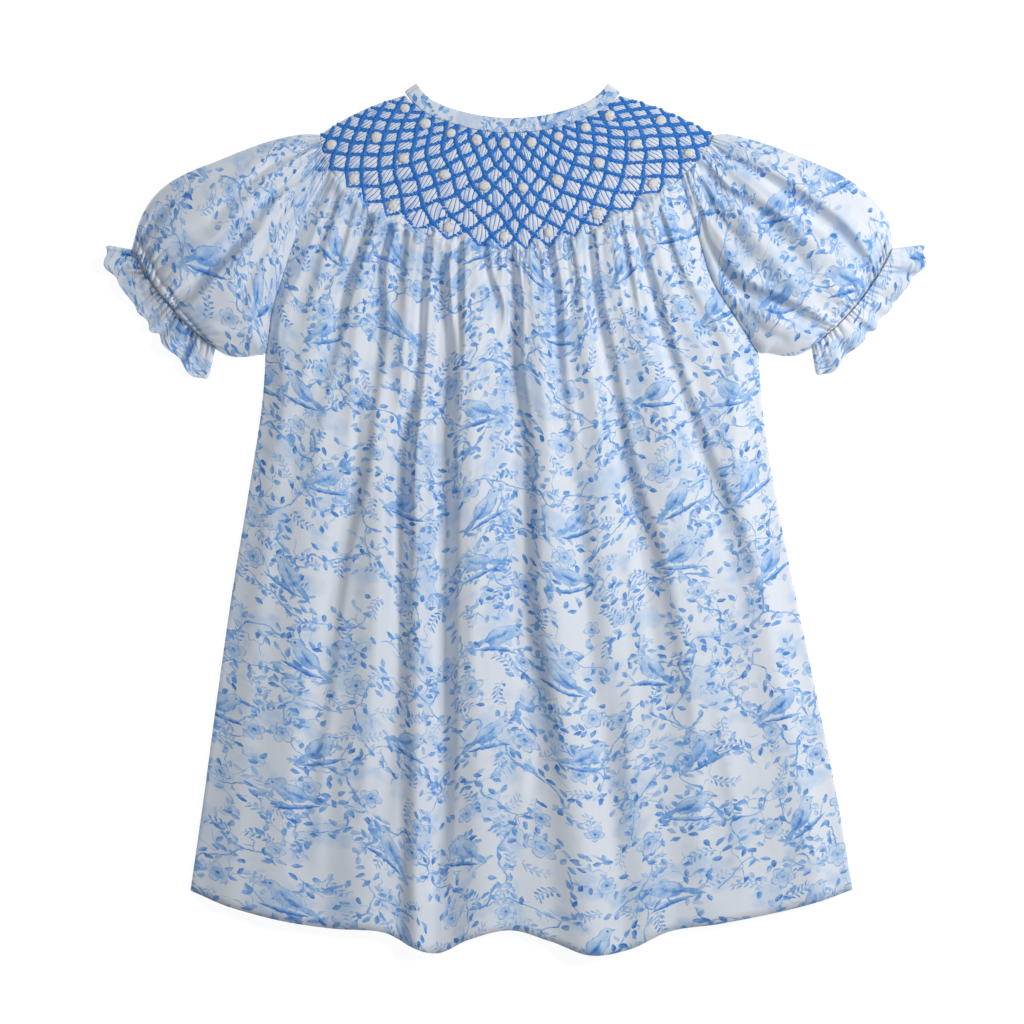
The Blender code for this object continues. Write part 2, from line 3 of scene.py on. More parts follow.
import bpy
import numpy as np
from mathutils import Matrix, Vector


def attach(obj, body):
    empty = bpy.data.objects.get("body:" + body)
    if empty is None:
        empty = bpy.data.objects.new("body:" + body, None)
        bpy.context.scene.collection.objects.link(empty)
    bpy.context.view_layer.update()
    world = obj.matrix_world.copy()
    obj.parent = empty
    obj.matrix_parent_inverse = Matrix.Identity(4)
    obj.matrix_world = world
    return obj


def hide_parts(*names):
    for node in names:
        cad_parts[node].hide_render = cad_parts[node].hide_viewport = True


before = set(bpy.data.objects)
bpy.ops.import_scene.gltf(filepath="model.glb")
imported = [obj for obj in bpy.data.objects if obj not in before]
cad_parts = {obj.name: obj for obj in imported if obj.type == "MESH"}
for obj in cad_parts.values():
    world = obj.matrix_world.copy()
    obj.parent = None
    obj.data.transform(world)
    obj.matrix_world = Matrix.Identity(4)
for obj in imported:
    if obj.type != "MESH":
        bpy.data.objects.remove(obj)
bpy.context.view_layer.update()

# The table, the camera and the lights. A pale matt board carries the dress and a long lens looks
# straight down on it. A small key light on the right shows the folds, and a large weak light beyond
# the neck and the pale room soften the shadows.
MM = 0.001
VIEW_WIDTH = 0.6144
VIEW_CENTRE = (-0.0021, 0.0054)
CAMERA_HEIGHT = 3.2
FOCUS_HEIGHT = 0.006
SENSOR_WIDTH = 36.0
TABLE_SIZE = 8.0
TABLE_DROP = 0.0004
TABLE_WHITE = (0.20, 0.20, 0.203, 1.0)
TABLE_PALER = (0.22, 0.22, 0.223, 1.0)
TABLE_GLOW = 0.90
ROOM_COLOUR = (0.90, 0.95, 1.04, 1.0)
ROOM_STRENGTH = 0.25
KEY_PLACE = (0.74, 0.26, 0.92)
KEY_SIZE = 0.3
KEY_POWER = 9.0
FILL_PLACE = (-0.15, 0.85, 1.1)
FILL_SIZE = 1.2
FILL_POWER = 1.9

bpy.ops.object.select_all(action="DESELECT")
bpy.ops.object.camera_add(location=(VIEW_CENTRE[0], VIEW_CENTRE[1], CAMERA_HEIGHT), rotation=(0, 0, 0))
camera = bpy.context.object
camera.name = "photo_camera"
camera.data.sensor_width = SENSOR_WIDTH
camera.data.lens = SENSOR_WIDTH * (CAMERA_HEIGHT - FOCUS_HEIGHT) / VIEW_WIDTH
camera.data.clip_end = 20.0
bpy.context.scene.camera = camera


def studio_light(name, place, size, power):
    """A square soft light aimed at the dress."""
    aim = (-Vector(place)).to_track_quat("-Z", "Y").to_euler()
    bpy.ops.object.light_add(type="AREA", location=place, rotation=aim)
    light = bpy.context.object
    light.name = name
    light.data.shape = "SQUARE"
    light.data.size = size
    light.data.energy = power


studio_light("key_light", KEY_PLACE, KEY_SIZE, KEY_POWER)
studio_light("fill_light", FILL_PLACE, FILL_SIZE, FILL_POWER)

room = bpy.data.worlds.new("pale_room")
room.use_nodes = True
room_light = room.node_tree.nodes["Background"]
room_light.inputs["Color"].default_value = ROOM_COLOUR
room_light.inputs["Strength"].default_value = ROOM_STRENGTH
bpy.context.scene.world = room
bpy.context.scene.view_settings.view_transform = "Standard"
bpy.context.scene.view_settings.look = "None"

bpy.ops.mesh.primitive_plane_add(size=TABLE_SIZE, location=(0.0, 0.0, -TABLE_DROP))
table_top = bpy.context.object
table_top.name = "table_top"


def node(tree, kind, inputs=None, **settings):
    """Add a shader node, set its options, and set or link its inputs by name or number."""
    made = tree.nodes.new("ShaderNode" + kind)
    for key, value in settings.items():
        setattr(made, key, value)
    for key, value in (inputs or {}).items():
        if isinstance(value, bpy.types.NodeSocket):
            tree.links.new(value, made.inputs[key])
        else:
            made.inputs[key].default_value = value
    return made


def new_material(name, roughness):
    """A material with its Principled shader ready."""
    material = bpy.data.materials.new(name)
    material.use_nodes = True
    shader = material.node_tree.nodes["Principled BSDF"]
    shader.inputs["Roughness"].default_value = roughness
    return material, material.node_tree, shader


board, board_tree, board_shader = new_material("painted_board", 0.9)
board_place = node(board_tree, "TexCoord").outputs["Object"]
board_grain = node(board_tree, "TexNoise", {"Vector": board_place, "Scale": 9.0}).outputs[0]
board_colour = node(board_tree, "Mix", {0: board_grain, 6: TABLE_WHITE, 7: TABLE_PALER}, data_type="RGBA")
board_tree.links.new(board_colour.outputs[2], board_shader.inputs["Base Color"])
board_shader.inputs["Emission Color"].default_value = (1.0, 1.0, 1.0, 1.0)
board_shader.inputs["Emission Strength"].default_value = TABLE_GLOW
table_top.data.materials.append(board)

# The back body panel: the same printed lawn as the front, cut on its own and joined at the side
# seams. It lies face down and nearly flat on the table, with a few shallow ripples towards the hem.
YOKE_CENTRE_X = 0.6
YOKE_HALF_WIDTH = 118.0
YOKE_SHOULDER_Y = 232.0
YOKE_DROP = 69.5
YOKE_ROUNDNESS_LEFT = 1.85
YOKE_ROUNDNESS_RIGHT = 1.45
BODY_FROM = 0.1
BODY_TO = 0.84
BODY_PULL = 2.2
CLOTH = 0.4
BACK_HEIGHT = 0.75
BACK_HEM_LIFT = 5.0
BODY_SIDES = [
    # left x, left y, right x, right y, in millimetres, below the yoke's edge
    (-119.7, 195.6, 104.7, 187.8),
    (-129.3, 177.6, 110.7, 168.6),
    (-138.9, 149.4, 118.5, 144.6),
    (-146.1, 126.6, 131.7, 123.6),
    (-149.7, 102.6, 144.9, 102.6),
    (-152.7, 66.6, 148.5, 66.6),
    (-161.1, 12.6, 156.9, 12.6),
    (-170.7, -45.6, 168.9, -47.4),
    (-180.3, -113.4, 182.7, -113.4),
    (-187.5, -167.4, 193.5, -167.4),
    (-195.3, -222.0, 202.5, -221.4),
]
RAGLAN_ROWS = 5
HEM_EDGE = [
    # x, y
    (-195.3, -222.0),
    (-171.3, -231.6),
    (-141.3, -239.4),
    (-111.3, -244.2),
    (-81.3, -246.0),
    (-63.3, -254.4),
    (-46.5, -259.2),
    (-27.3, -250.8),
    (-3.3, -245.4),
    (20.7, -252.0),
    (45.9, -260.0),
    (68.7, -256.8),
    (92.7, -246.0),
    (122.7, -241.4),
    (158.7, -234.4),
    (182.7, -228.0),
    (202.5, -221.4),
]


def mix(first, second, share):
    """The value a share of the way from the first to the second."""
    return first + (second - first) * share


def smooth(share):
    """A soft step from 0 to 1."""
    share = np.clip(share, 0.0, 1.0)
    return share * share * (3.0 - 2.0 * share)


def along(points, share):
    """Points of the smooth line through evenly counted knots, at an array of shares."""
    knots = np.array(points, dtype=float)
    padded = np.vstack([2.0 * knots[0] - knots[1], knots, 2.0 * knots[-1] - knots[-2]])
    place = np.clip(np.asarray(share, dtype=float), 0.0, 1.0) * (len(knots) - 1)
    first = np.minimum(place.astype(int), len(knots) - 2)
    t = (place - first)[..., None]
    a, b, c, d = (padded[first + step] for step in range(4))
    bend = t * (t * (t * (3.0 * (b - c) + d - a) + 2.0 * a - 5.0 * b + 4.0 * c - d) + c - a)
    return b + 0.5 * bend


def yoke_edge(share):
    """The lower edge of the smocking, from the left shoulder fold to the right one."""
    share = np.asarray(share, dtype=float)
    angle = math.pi * (1.0 - share)
    roundness = mix(YOKE_ROUNDNESS_LEFT, YOKE_ROUNDNESS_RIGHT, smooth(2.0 * share - 0.5))
    drop = np.abs(np.sin(angle)) ** (2.0 / roundness)
    wide = np.sign(np.cos(angle)) * np.abs(np.cos(angle)) ** (2.0 / roundness)
    return np.stack([YOKE_CENTRE_X + YOKE_HALF_WIDTH * wide, YOKE_SHOULDER_Y - YOKE_DROP * drop], axis=-1)


def body_side(side, rows):
    """One side line of the body, from the yoke's edge down a number of rows."""
    first = 0 if side == "left" else 2
    start = yoke_edge(BODY_FROM if side == "left" else BODY_TO)
    return [tuple(start)] + [row[first:first + 2] for row in BODY_SIDES[:rows]]


def shares_down(first, second):
    """The share of the way down at each row of two side lines, by their mean length."""
    steps = np.linalg.norm(np.diff(np.array(first), axis=0), axis=1)
    steps += np.linalg.norm(np.diff(np.array(second), axis=0), axis=1)
    return np.concatenate([[0.0], np.cumsum(steps)]) / steps.sum()


def stretched(top, bottom, left_line, right_line, s, rows, pull=1.0):
    """Plan points of a sheet stretched between four edges, after Coons, and the share down each row."""
    count = len(left_line) - 1
    v = np.interp(rows, np.arange(count + 1), shares_down(left_line, right_line))[:, None, None]
    left = along(left_line, rows / count)[:, None, :]
    right = along(right_line, rows / count)[:, None, :]
    left_chord = mix(np.array(left_line[0]), np.array(left_line[-1]), v)
    right_chord = mix(np.array(right_line[0]), np.array(right_line[-1]), v)
    wide = s[None, :, None]
    across = mix(top(s)[None], bottom(s)[None], v)
    plan = across + (left - left_chord) * (1.0 - wide) ** pull + (right - right_chord) * wide ** pull
    return plan, v[:, :, 0]


def shares(count, edge_points=(0.0, 0.0006, 0.0018, 0.0036, 0.006)):
    """Shares from 0 to 1, evenly spread, with a few more close to both ends for a rolled edge."""
    even = np.linspace(edge_points[-1] * 1.6, 1.0 - edge_points[-1] * 1.6, count)
    edge = np.array(edge_points)
    return np.concatenate([edge, even, 1.0 - edge[::-1]])


SLACK = 0.3
FLARE_HEM = 0.93
FLARE_TOP = 1.06


def flat_place(points, grain):
    """Where each point of a gathered sheet lies in its flat cut, in metres along and across the grain."""
    grain = np.array(grain) / np.linalg.norm(grain)
    across = points[..., 0] * grain[1] - points[..., 1] * grain[0]
    steps = np.linalg.norm(np.diff(points * (1.0, 1.0, SLACK), axis=1), axis=2).mean(axis=0)
    spread = np.concatenate([[0.0], np.cumsum(steps)]) * np.sign((across[:, -1] - across[:, 0]).sum())
    spread += across.mean() - spread.mean()
    falls = np.linalg.norm(np.diff(points[..., :2], axis=0), axis=2)
    fallen = np.concatenate([np.zeros((1, points.shape[1])), np.cumsum(falls, axis=0)])
    flare = mix(FLARE_HEM, FLARE_TOP, fallen / fallen[-1])
    return np.dstack([spread[None] * flare, fallen[-1] - fallen]) * MM


def cloth_mesh(name, points, flat, thickness=CLOTH, face_up=True):
    """A thin sheet through rows of points in millimetres, with its place in the flat cut as UVs."""
    rows, columns = points.shape[:2]
    index = np.arange(rows * columns).reshape(rows, columns)
    corners = [index[:-1, :-1], index[1:, :-1], index[1:, 1:], index[:-1, 1:]]
    if not face_up:
        corners.reverse()
    faces = np.stack(corners, axis=-1).reshape(-1, 4)
    mesh = bpy.data.meshes.new(name)
    mesh.from_pydata((points.reshape(-1, 3) * MM).tolist(), [], faces.tolist())
    layer = mesh.uv_layers.new(name="flat_cut")
    layer.data.foreach_set("uv", flat.reshape(-1, 2)[faces.reshape(-1)].astype(np.float32).reshape(-1))
    mesh.polygons.foreach_set("use_smooth", np.ones(len(faces), dtype=bool))
    piece = bpy.data.objects.new(name, mesh)
    bpy.context.scene.collection.objects.link(piece)
    bpy.ops.object.select_all(action="DESELECT")
    piece.select_set(True)
    bpy.context.view_layer.objects.active = piece
    wall = piece.modifiers.new("wall", "SOLIDIFY")
    wall.thickness = thickness * MM
    wall.offset = -1.0
    bpy.ops.object.modifier_apply(modifier="wall")
    return piece


def calc(tree, operation, *values, clamp=False):
    """One Math node; the values are sockets or numbers."""
    return node(tree, "Math", dict(enumerate(values)), operation=operation, use_clamp=clamp).outputs[0]


def soft_range(tree, value, low, high):
    """0 up to low, 1 from high, and a soft step between; low may be the larger."""
    inputs = {"Value": value, "From Min": low, "From Max": high}
    return node(tree, "MapRange", inputs, interpolation_type="SMOOTHSTEP").outputs[0]


def vector(tree, operation, *values):
    """One Vector Math node; the values are sockets or triples."""
    return node(tree, "VectorMath", dict(enumerate(values)), operation=operation).outputs[0]


def length(tree, place):
    """How far a place is from the middle."""
    return node(tree, "VectorMath", {0: place}, operation="LENGTH").outputs["Value"]


def noise(tree, place, scale, detail, roughness=0.5):
    """A flat noise texture, as its number and its colour."""
    inputs = {"Vector": place, "Scale": scale, "Detail": detail, "Roughness": roughness}
    return node(tree, "TexNoise", inputs, noise_dimensions="2D").outputs


def raised(tree, base, value, rise):
    """The base plus the value times the rise."""
    return calc(tree, "ADD", base, calc(tree, "MULTIPLY", value, rise))


def band(tree, value, middle, low, high):
    """Mask of a narrow band of values on both sides of the middle one."""
    return soft_range(tree, calc(tree, "ABSOLUTE", calc(tree, "SUBTRACT", value, middle)), low, high)


def placed(tree, place, x, y, tilt, long, wide):
    """The place seen from a form at x and y, tilted, with its half length and half width as units."""
    inputs = {"Vector": place, "Location": (x, y, 0), "Rotation": (0, 0, tilt), "Scale": (long, wide, 1)}
    return node(tree, "Mapping", inputs, vector_type="TEXTURE").outputs[0]


def oval(tree, place, x, y, tilt, long, wide):
    """How far out a place lies in an oval of half length and half width in millimetres: 1 on its rim."""
    return length(tree, placed(tree, place, x, y, tilt, long, wide))


def leaf(tree, place, x, y, tilt, long, wide, soft=0.12):
    """Mask of a leaf pointed at both ends, and the place across its blade."""
    parts = node(tree, "SeparateXYZ", {0: placed(tree, place, x, y, tilt, long, wide)}).outputs
    room_left = calc(tree, "SUBTRACT", 1.0, calc(tree, "MULTIPLY", parts[0], parts[0]))
    inside = calc(tree, "SUBTRACT", room_left, calc(tree, "ABSOLUTE", parts[1]))
    return soft_range(tree, inside, 0.0, soft * 2.0), parts[1]


def scattered(tree, place, size, loose, seed):
    """Cells of a loose scatter: the place from each cell's middle, its middle and its three chances."""
    offset = (seed * 37.0, seed * 61.0, 0)
    moved = vector(tree, "ADD", place, offset)
    inputs = {"Vector": moved, "Scale": 1.0 / size, "Randomness": loose}
    cell = node(tree, "TexVoronoi", inputs, voronoi_dimensions="2D")
    local = vector(tree, "SUBTRACT", moved, cell.outputs["Position"])
    middle = vector(tree, "SUBTRACT", cell.outputs["Position"], offset)
    chances = node(tree, "SeparateColor", {0: cell.outputs["Color"]}).outputs
    return local, middle, chances


def turned(tree, place, turns):
    """The place turned about its cell's middle by a share of a full turn."""
    inputs = {"Vector": place, "Angle": calc(tree, "MULTIPLY", turns, 2.0 * math.pi)}
    return node(tree, "VectorRotate", inputs, rotation_type="Z_AXIS").outputs[0]


def stem_distance(tree, place, size, seed):
    """Distance in millimetres from a net of bent, branching stems."""
    moved = vector(tree, "ADD", place, (seed * 19.0, seed * 43.0, 0))
    bend = vector(tree, "SUBTRACT", noise(tree, moved, 1.6 / size, 1.0)["Color"], (0.5, 0.5, 0.5))
    bent = vector(tree, "MULTIPLY_ADD", bend, (size * 0.75, size * 0.75, 0.0), moved)
    net = node(
        tree, "TexVoronoi", {"Vector": bent, "Scale": 1.0 / size, "Randomness": 0.95},
        voronoi_dimensions="2D", feature="DISTANCE_TO_EDGE")
    return calc(tree, "MULTIPLY", net.outputs["Distance"], size)


def strongest(tree, *values):
    """The largest of several masks."""
    result = values[0]
    for value in values[1:]:
        result = calc(tree, "MAXIMUM", result, value)
    return result


def toned(tree, mask, tone):
    """A mask at a strength of ink."""
    return calc(tree, "MULTIPLY", mask, tone)


BOUGH_NET = 36.0
TWIG_NET = 15.0
CROWD_SCALE = 1.0 / 24.0


def leafy_stems(tree, place):
    """Branching stems with small leaves crowded along them."""
    crowd = noise(tree, place, CROWD_SCALE, 0.0)[0]
    bough = soft_range(tree, stem_distance(tree, place, BOUGH_NET, 1), 0.72, 0.38)
    twig = soft_range(tree, stem_distance(tree, place, TWIG_NET, 2), 0.42, 0.18)
    bough = toned(tree, bough, soft_range(tree, crowd, 0.34, 0.42))
    twig = toned(tree, twig, soft_range(tree, crowd, 0.47, 0.55))
    local, middle, chances = scattered(tree, place, 5.2, 0.9, 3)
    middle_crowd = noise(tree, middle, CROWD_SCALE, 0.0)[0]
    near_bough = soft_range(tree, stem_distance(tree, middle, BOUGH_NET, 1), 4.4, 4.1)
    near_twig = soft_range(tree, stem_distance(tree, middle, TWIG_NET, 2), 3.4, 3.1)
    near_twig = toned(tree, near_twig, soft_range(tree, middle_crowd, 0.46, 0.48))
    some = calc(tree, "GREATER_THAN", chances[2], 0.20)
    blade, across = leaf(tree, turned(tree, local, chances[0]), 0.0, 0.0, 0.0, 3.0, 1.45)
    shade = raised(tree, 0.22, chances[1], 0.52)
    shade = raised(tree, shade, soft_range(tree, across, -0.05, 0.05), 0.14)
    leaves = toned(tree, calc(tree, "MULTIPLY", blade, strongest(tree, near_bough, near_twig)), shade)
    leaves = toned(tree, leaves, some)
    return strongest(tree, toned(tree, bough, 0.56), toned(tree, twig, 0.42), leaves)


LEAF_PITCH = 2.7


def sprigs(tree, place):
    """Loose sprigs: a bent stem with pairs of leaves."""
    local, chances = scattered(tree, place, 19.0, 0.6, 5)[::2]
    stem = node(tree, "SeparateXYZ", {0: turned(tree, local, chances[0])}).outputs
    bend = calc(tree, "MULTIPLY", calc(tree, "MULTIPLY", stem[0], stem[0]), 0.05)
    off = calc(tree, "SUBTRACT", stem[1], bend)
    half_pitch = calc(tree, "MULTIPLY", soft_range(tree, off, -0.01, 0.01), 0.5 * LEAF_PITCH)
    shifted = calc(tree, "ADD", stem[0], half_pitch)
    step = calc(tree, "SUBTRACT", calc(tree, "FRACT", calc(tree, "DIVIDE", shifted, LEAF_PITCH)), 0.5)
    step = calc(tree, "MULTIPLY", step, LEAF_PITCH)
    leaf_place = node(tree, "CombineXYZ", {0: step, 1: calc(tree, "ABSOLUTE", off)}).outputs[0]
    blade = leaf(tree, leaf_place, 0.25, 1.7, 0.95, 1.75, 0.75)[0]
    reach = soft_range(tree, calc(tree, "ABSOLUTE", stem[0]), 6.6, 6.2)
    line = soft_range(tree, calc(tree, "ABSOLUTE", off), 0.42, 0.20)
    line = toned(tree, line, soft_range(tree, calc(tree, "ABSOLUTE", stem[0]), 7.6, 7.2))
    shade = raised(tree, 0.24, chances[1], 0.42)
    some = calc(tree, "GREATER_THAN", chances[2], 0.30)
    grown = strongest(tree, toned(tree, toned(tree, blade, reach), shade), toned(tree, line, 0.38))
    return toned(tree, grown, some)


def blossoms(tree, place):
    """Open roses with a ring of outer petals, a smaller ring inside and a dark heart."""
    local, chances = scattered(tree, place, 31.0, 0.7, 7)[::2]
    parts = node(tree, "SeparateXYZ", {0: turned(tree, local, chances[0])}).outputs
    angle = calc(tree, "MULTIPLY", calc(tree, "ARCTAN2", parts[1], parts[0]), 2.5)
    lobe = calc(tree, "ABSOLUTE", calc(tree, "COSINE", angle))
    between = calc(tree, "ABSOLUTE", calc(tree, "SINE", angle))
    radius = calc(tree, "DIVIDE", length(tree, local), raised(tree, 0.75, chances[1], 0.5))
    share = calc(tree, "DIVIDE", radius, raised(tree, 4.0, lobe, 2.3))
    inner = calc(tree, "DIVIDE", radius, raised(tree, 2.0, between, 1.3))
    petals = soft_range(tree, share, 1.03, 0.96)
    edge = band(tree, share, 0.93, 0.09, 0.03)
    ring = band(tree, inner, 0.95, 0.17, 0.05)
    heart = soft_range(tree, radius, 1.3, 0.7)
    shade = raised(tree, 0.13, soft_range(tree, share, 0.85, 0.25), 0.24)
    some = calc(tree, "GREATER_THAN", chances[2], 0.30)
    flower = strongest(tree, toned(tree, petals, shade), toned(tree, edge, 0.46), toned(tree, ring, 0.48))
    return toned(tree, strongest(tree, flower, toned(tree, heart, 0.78)), some), toned(tree, petals, some)


BIRD_SIZE = 1.2


def songbirds(tree, place, patchy):
    """Small songbirds on leafy perches, facing either way."""
    local, chances = scattered(tree, place, 50.0, 0.55, 9)[::2]
    scaled = node(tree, "VectorMath", {0: local, "Scale": 1.0 / BIRD_SIZE}, operation="SCALE").outputs[0]
    parts = node(tree, "SeparateXYZ", {0: scaled}).outputs
    facing = calc(tree, "MULTIPLY", calc(tree, "GREATER_THAN", chances[0], 0.5), 2.0)
    facing = calc(tree, "SUBTRACT", facing, 1.0)
    bird = node(tree, "CombineXYZ", {0: calc(tree, "MULTIPLY", parts[0], facing), 1: parts[1]}).outputs[0]
    lean = calc(tree, "MULTIPLY", calc(tree, "SUBTRACT", chances[1], 0.5), 0.8)
    bird = node(tree, "VectorRotate", {"Vector": bird, "Angle": lean}, rotation_type="Z_AXIS").outputs[0]
    reach = oval(tree, bird, 0.0, 0.2, 0.55, 6.4, 4.1)
    reach = calc(tree, "MINIMUM", reach, oval(tree, bird, 3.4, 3.1, 0.75, 4.0, 2.7))
    reach = calc(tree, "MINIMUM", reach, oval(tree, bird, 5.2, 5.0, 0.2, 2.8, 2.4))
    form = soft_range(tree, reach, 1.05, 0.97)
    rim = band(tree, reach, 0.95, 0.11, 0.03)
    tail = leaf(tree, bird, -8.3, -4.9, 0.58, 6.2, 1.7)[0]
    wing, wing_across = leaf(tree, bird, -2.3, -0.4, 0.62, 6.6, 2.5)
    bill = leaf(tree, bird, 8.2, 5.0, -0.15, 1.6, 0.6)[0]
    eye = soft_range(tree, oval(tree, bird, 5.9, 5.5, 0.0, 0.55, 0.55), 1.3, 0.7)
    legs = leaf(tree, bird, 1.2, -4.7, 1.4, 2.0, 0.35)[0]
    perch, perch_across = leaf(tree, bird, 0.5, -6.6, 0.10, 10.5, 1.3)
    bough = leaf(tree, bird, 9.0, -3.4, 0.9, 5.0, 0.45)[0]
    form_tone = raised(tree, 0.14, soft_range(tree, parts[1], 4.0, -4.0), 0.24)
    form_tone = raised(tree, form_tone, patchy, 0.22)
    feathers = raised(tree, 0.34, soft_range(tree, wing_across, 0.2, -0.5), 0.42)
    perch_tone = raised(tree, 0.52, soft_range(tree, perch_across, 0.3, -0.4), 0.42)
    grown = strongest(tree, toned(tree, perch, perch_tone), toned(tree, bough, 0.42))
    for x, y, tilt, long, wide, tone in (
            (-9.5, -9.0, -0.6, 2.7, 1.1, 0.50),
            (-5.0, -9.2, -1.2, 2.4, 1.0, 0.38),
            (11.6, -8.4, -0.5, 2.7, 1.1, 0.42),
            (13.0, 0.2, 0.8, 2.6, 1.1, 0.55),
            (8.2, 0.3, 1.9, 2.3, 1.0, 0.36),
            (-12.5, -4.6, 2.6, 2.2, 0.9, 0.40)):
        grown = strongest(tree, grown, toned(tree, leaf(tree, bird, x, y, tilt, long, wide)[0], tone))
    drawn = strongest(tree, toned(tree, form, form_tone), toned(tree, rim, 0.50), toned(tree, tail, 0.50))
    drawn = strongest(tree, drawn, toned(tree, wing, feathers), toned(tree, bill, 0.6))
    drawn = strongest(tree, drawn, toned(tree, eye, 0.9), toned(tree, legs, 0.55))
    some = calc(tree, "GREATER_THAN", chances[2], 0.15)
    clear = toned(tree, strongest(tree, form, wing), some)
    return toned(tree, strongest(tree, grown, drawn), some), clear


def make_print():
    """The printed cotton's ink as a group: blue sprays, blossoms and birds on white, in millimetres."""
    tree = bpy.data.node_groups.new("blue_garden_print", "ShaderNodeTree")
    tree.interface.new_socket("Place", in_out="INPUT", socket_type="NodeSocketVector")
    tree.interface.new_socket("Colour", in_out="OUTPUT", socket_type="NodeSocketColor")
    start = tree.nodes.new("NodeGroupInput")
    end = tree.nodes.new("NodeGroupOutput")
    wobble = vector(tree, "SUBTRACT", noise(tree, start.outputs[0], 0.35, 1.0)["Color"], (0.5, 0.5, 0.5))
    place = vector(tree, "MULTIPLY_ADD", wobble, (1.3, 1.3, 0.0), start.outputs[0])
    patchy = noise(tree, start.outputs[0], 0.16, 3.0, 0.65)[0]
    wash = soft_range(tree, noise(tree, start.outputs[0], 0.045, 2.0)[0], 0.50, 0.68)
    wash = toned(tree, wash, 0.17)
    birds, clear = songbirds(tree, place, patchy)
    roses, rose_clear = blossoms(tree, place)
    leaves = strongest(tree, leafy_stems(tree, place), sprigs(tree, place))
    leaves = strongest(tree, toned(tree, leaves, calc(tree, "SUBTRACT", 1.0, rose_clear)), roses)
    leaves = toned(tree, leaves, calc(tree, "SUBTRACT", 1.0, clear))
    ink = strongest(tree, birds, leaves, wash)
    strength = raised(tree, 0.66, soft_range(tree, patchy, 0.32, 0.68), 0.62)
    ink = calc(tree, "MULTIPLY", ink, strength, clamp=True)
    ramp = node(tree, "ValToRGB", {0: ink})
    steps = ramp.color_ramp.elements
    steps[0].color = (0.79, 0.83, 0.885, 1.0)
    steps[1].color = (0.05, 0.21, 0.60, 1.0)
    for position, colour in ((0.25, (0.53, 0.675, 0.87, 1.0)), (0.55, (0.225, 0.445, 0.80, 1.0))):
        steps.new(position).color = colour
    tree.links.new(ramp.outputs[0], end.inputs[0])
    return tree


def weave_bump(tree, place, strength, crease_scale):
    """Fine weave and small creases of pressed cotton, as a normal."""
    weave = noise(tree, place, 2.2, 2.0, 0.7)[0]
    crease = noise(tree, vector(tree, "MULTIPLY", place, crease_scale), 1.0, 3.0)[0]
    height = raised(tree, calc(tree, "MULTIPLY", weave, 0.10), crease, 1.1)
    inputs = {"Height": height, "Strength": strength, "Distance": MM}
    return node(tree, "Bump", inputs).outputs[0]


garden_print = make_print()


def printed_cotton(name, shift, turn=0.0, shade=1.0):
    """Printed lawn for one piece: its own place and turn on the printed bolt, soft sheen and weave; the
    shade share darkens its print as painted shade.
    """
    material, tree, shader = new_material(name, 0.62)
    flat = node(tree, "UVMap", uv_map="flat_cut").outputs[0]
    inputs = {"Vector": flat, "Location": (shift[0], shift[1], 0.0), "Rotation": (0, 0, turn)}
    inputs["Scale"] = (1.0 / MM, 1.0 / MM, 1.0)
    place = node(tree, "Mapping", inputs).outputs[0]
    printed = tree.nodes.new("ShaderNodeGroup")
    printed.node_tree = garden_print
    tree.links.new(place, printed.inputs[0])
    print_times_painted_shade = node(
        tree, "Mix", {0: 1.0, 6: printed.outputs[0], 7: (shade, shade, shade, 1.0)},
        data_type="RGBA", blend_type="MULTIPLY")
    tree.links.new(print_times_painted_shade.outputs[2], shader.inputs["Base Color"])
    tree.links.new(weave_bump(tree, place, 0.35, (0.10, 0.035, 0.0)), shader.inputs["Normal"])
    shader.inputs["Sheen Weight"].default_value = 0.25
    shader.inputs["Sheen Roughness"].default_value = 0.4
    shader.inputs["Specular IOR Level"].default_value = 0.35
    return material


def lay_cloth(piece, material, nodes):
    """Give a finished sheet its material and its place in the frame, and hide the parts it stands for."""
    piece.data.materials.append(material)
    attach(piece, "root")
    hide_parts(*nodes)


def body_plan(s, rows, hem_lift):
    """Plan points of a body panel and the share down each row."""
    left_line = body_side("left", len(BODY_SIDES))
    right_line = body_side("right", len(BODY_SIDES))

    def top(share):
        return yoke_edge(mix(BODY_FROM, BODY_TO, share))

    def bottom(share):
        edge = along(HEM_EDGE, share)
        edge[:, 1] += hem_lift * np.sin(math.pi * share)
        return edge

    return stretched(top, bottom, left_line, right_line, s, rows, BODY_PULL)


back_shares = shares(80)
back_rows = np.linspace(0.0, len(BODY_SIDES), 60)
back_plan, back_down = body_plan(back_shares, back_rows, BACK_HEM_LIFT)
back_ripple = 0.22 * np.sin(26.0 * back_shares)[None, :] * back_down * np.sin(math.pi * back_shares)[None, :]
back_points = np.dstack([back_plan, BACK_HEIGHT + back_ripple])
back_body = cloth_mesh("back_body_cloth", back_points, flat_place(back_points, (0.0, 1.0)))
# The back's print is darkened to 0.93 as painted shade, for the lower layer lying under the front.
lay_cloth(
    back_body, printed_cotton("printed_back_painted_shade", (310.0, 40.0), shade=0.93),
    ["back_skirt"])

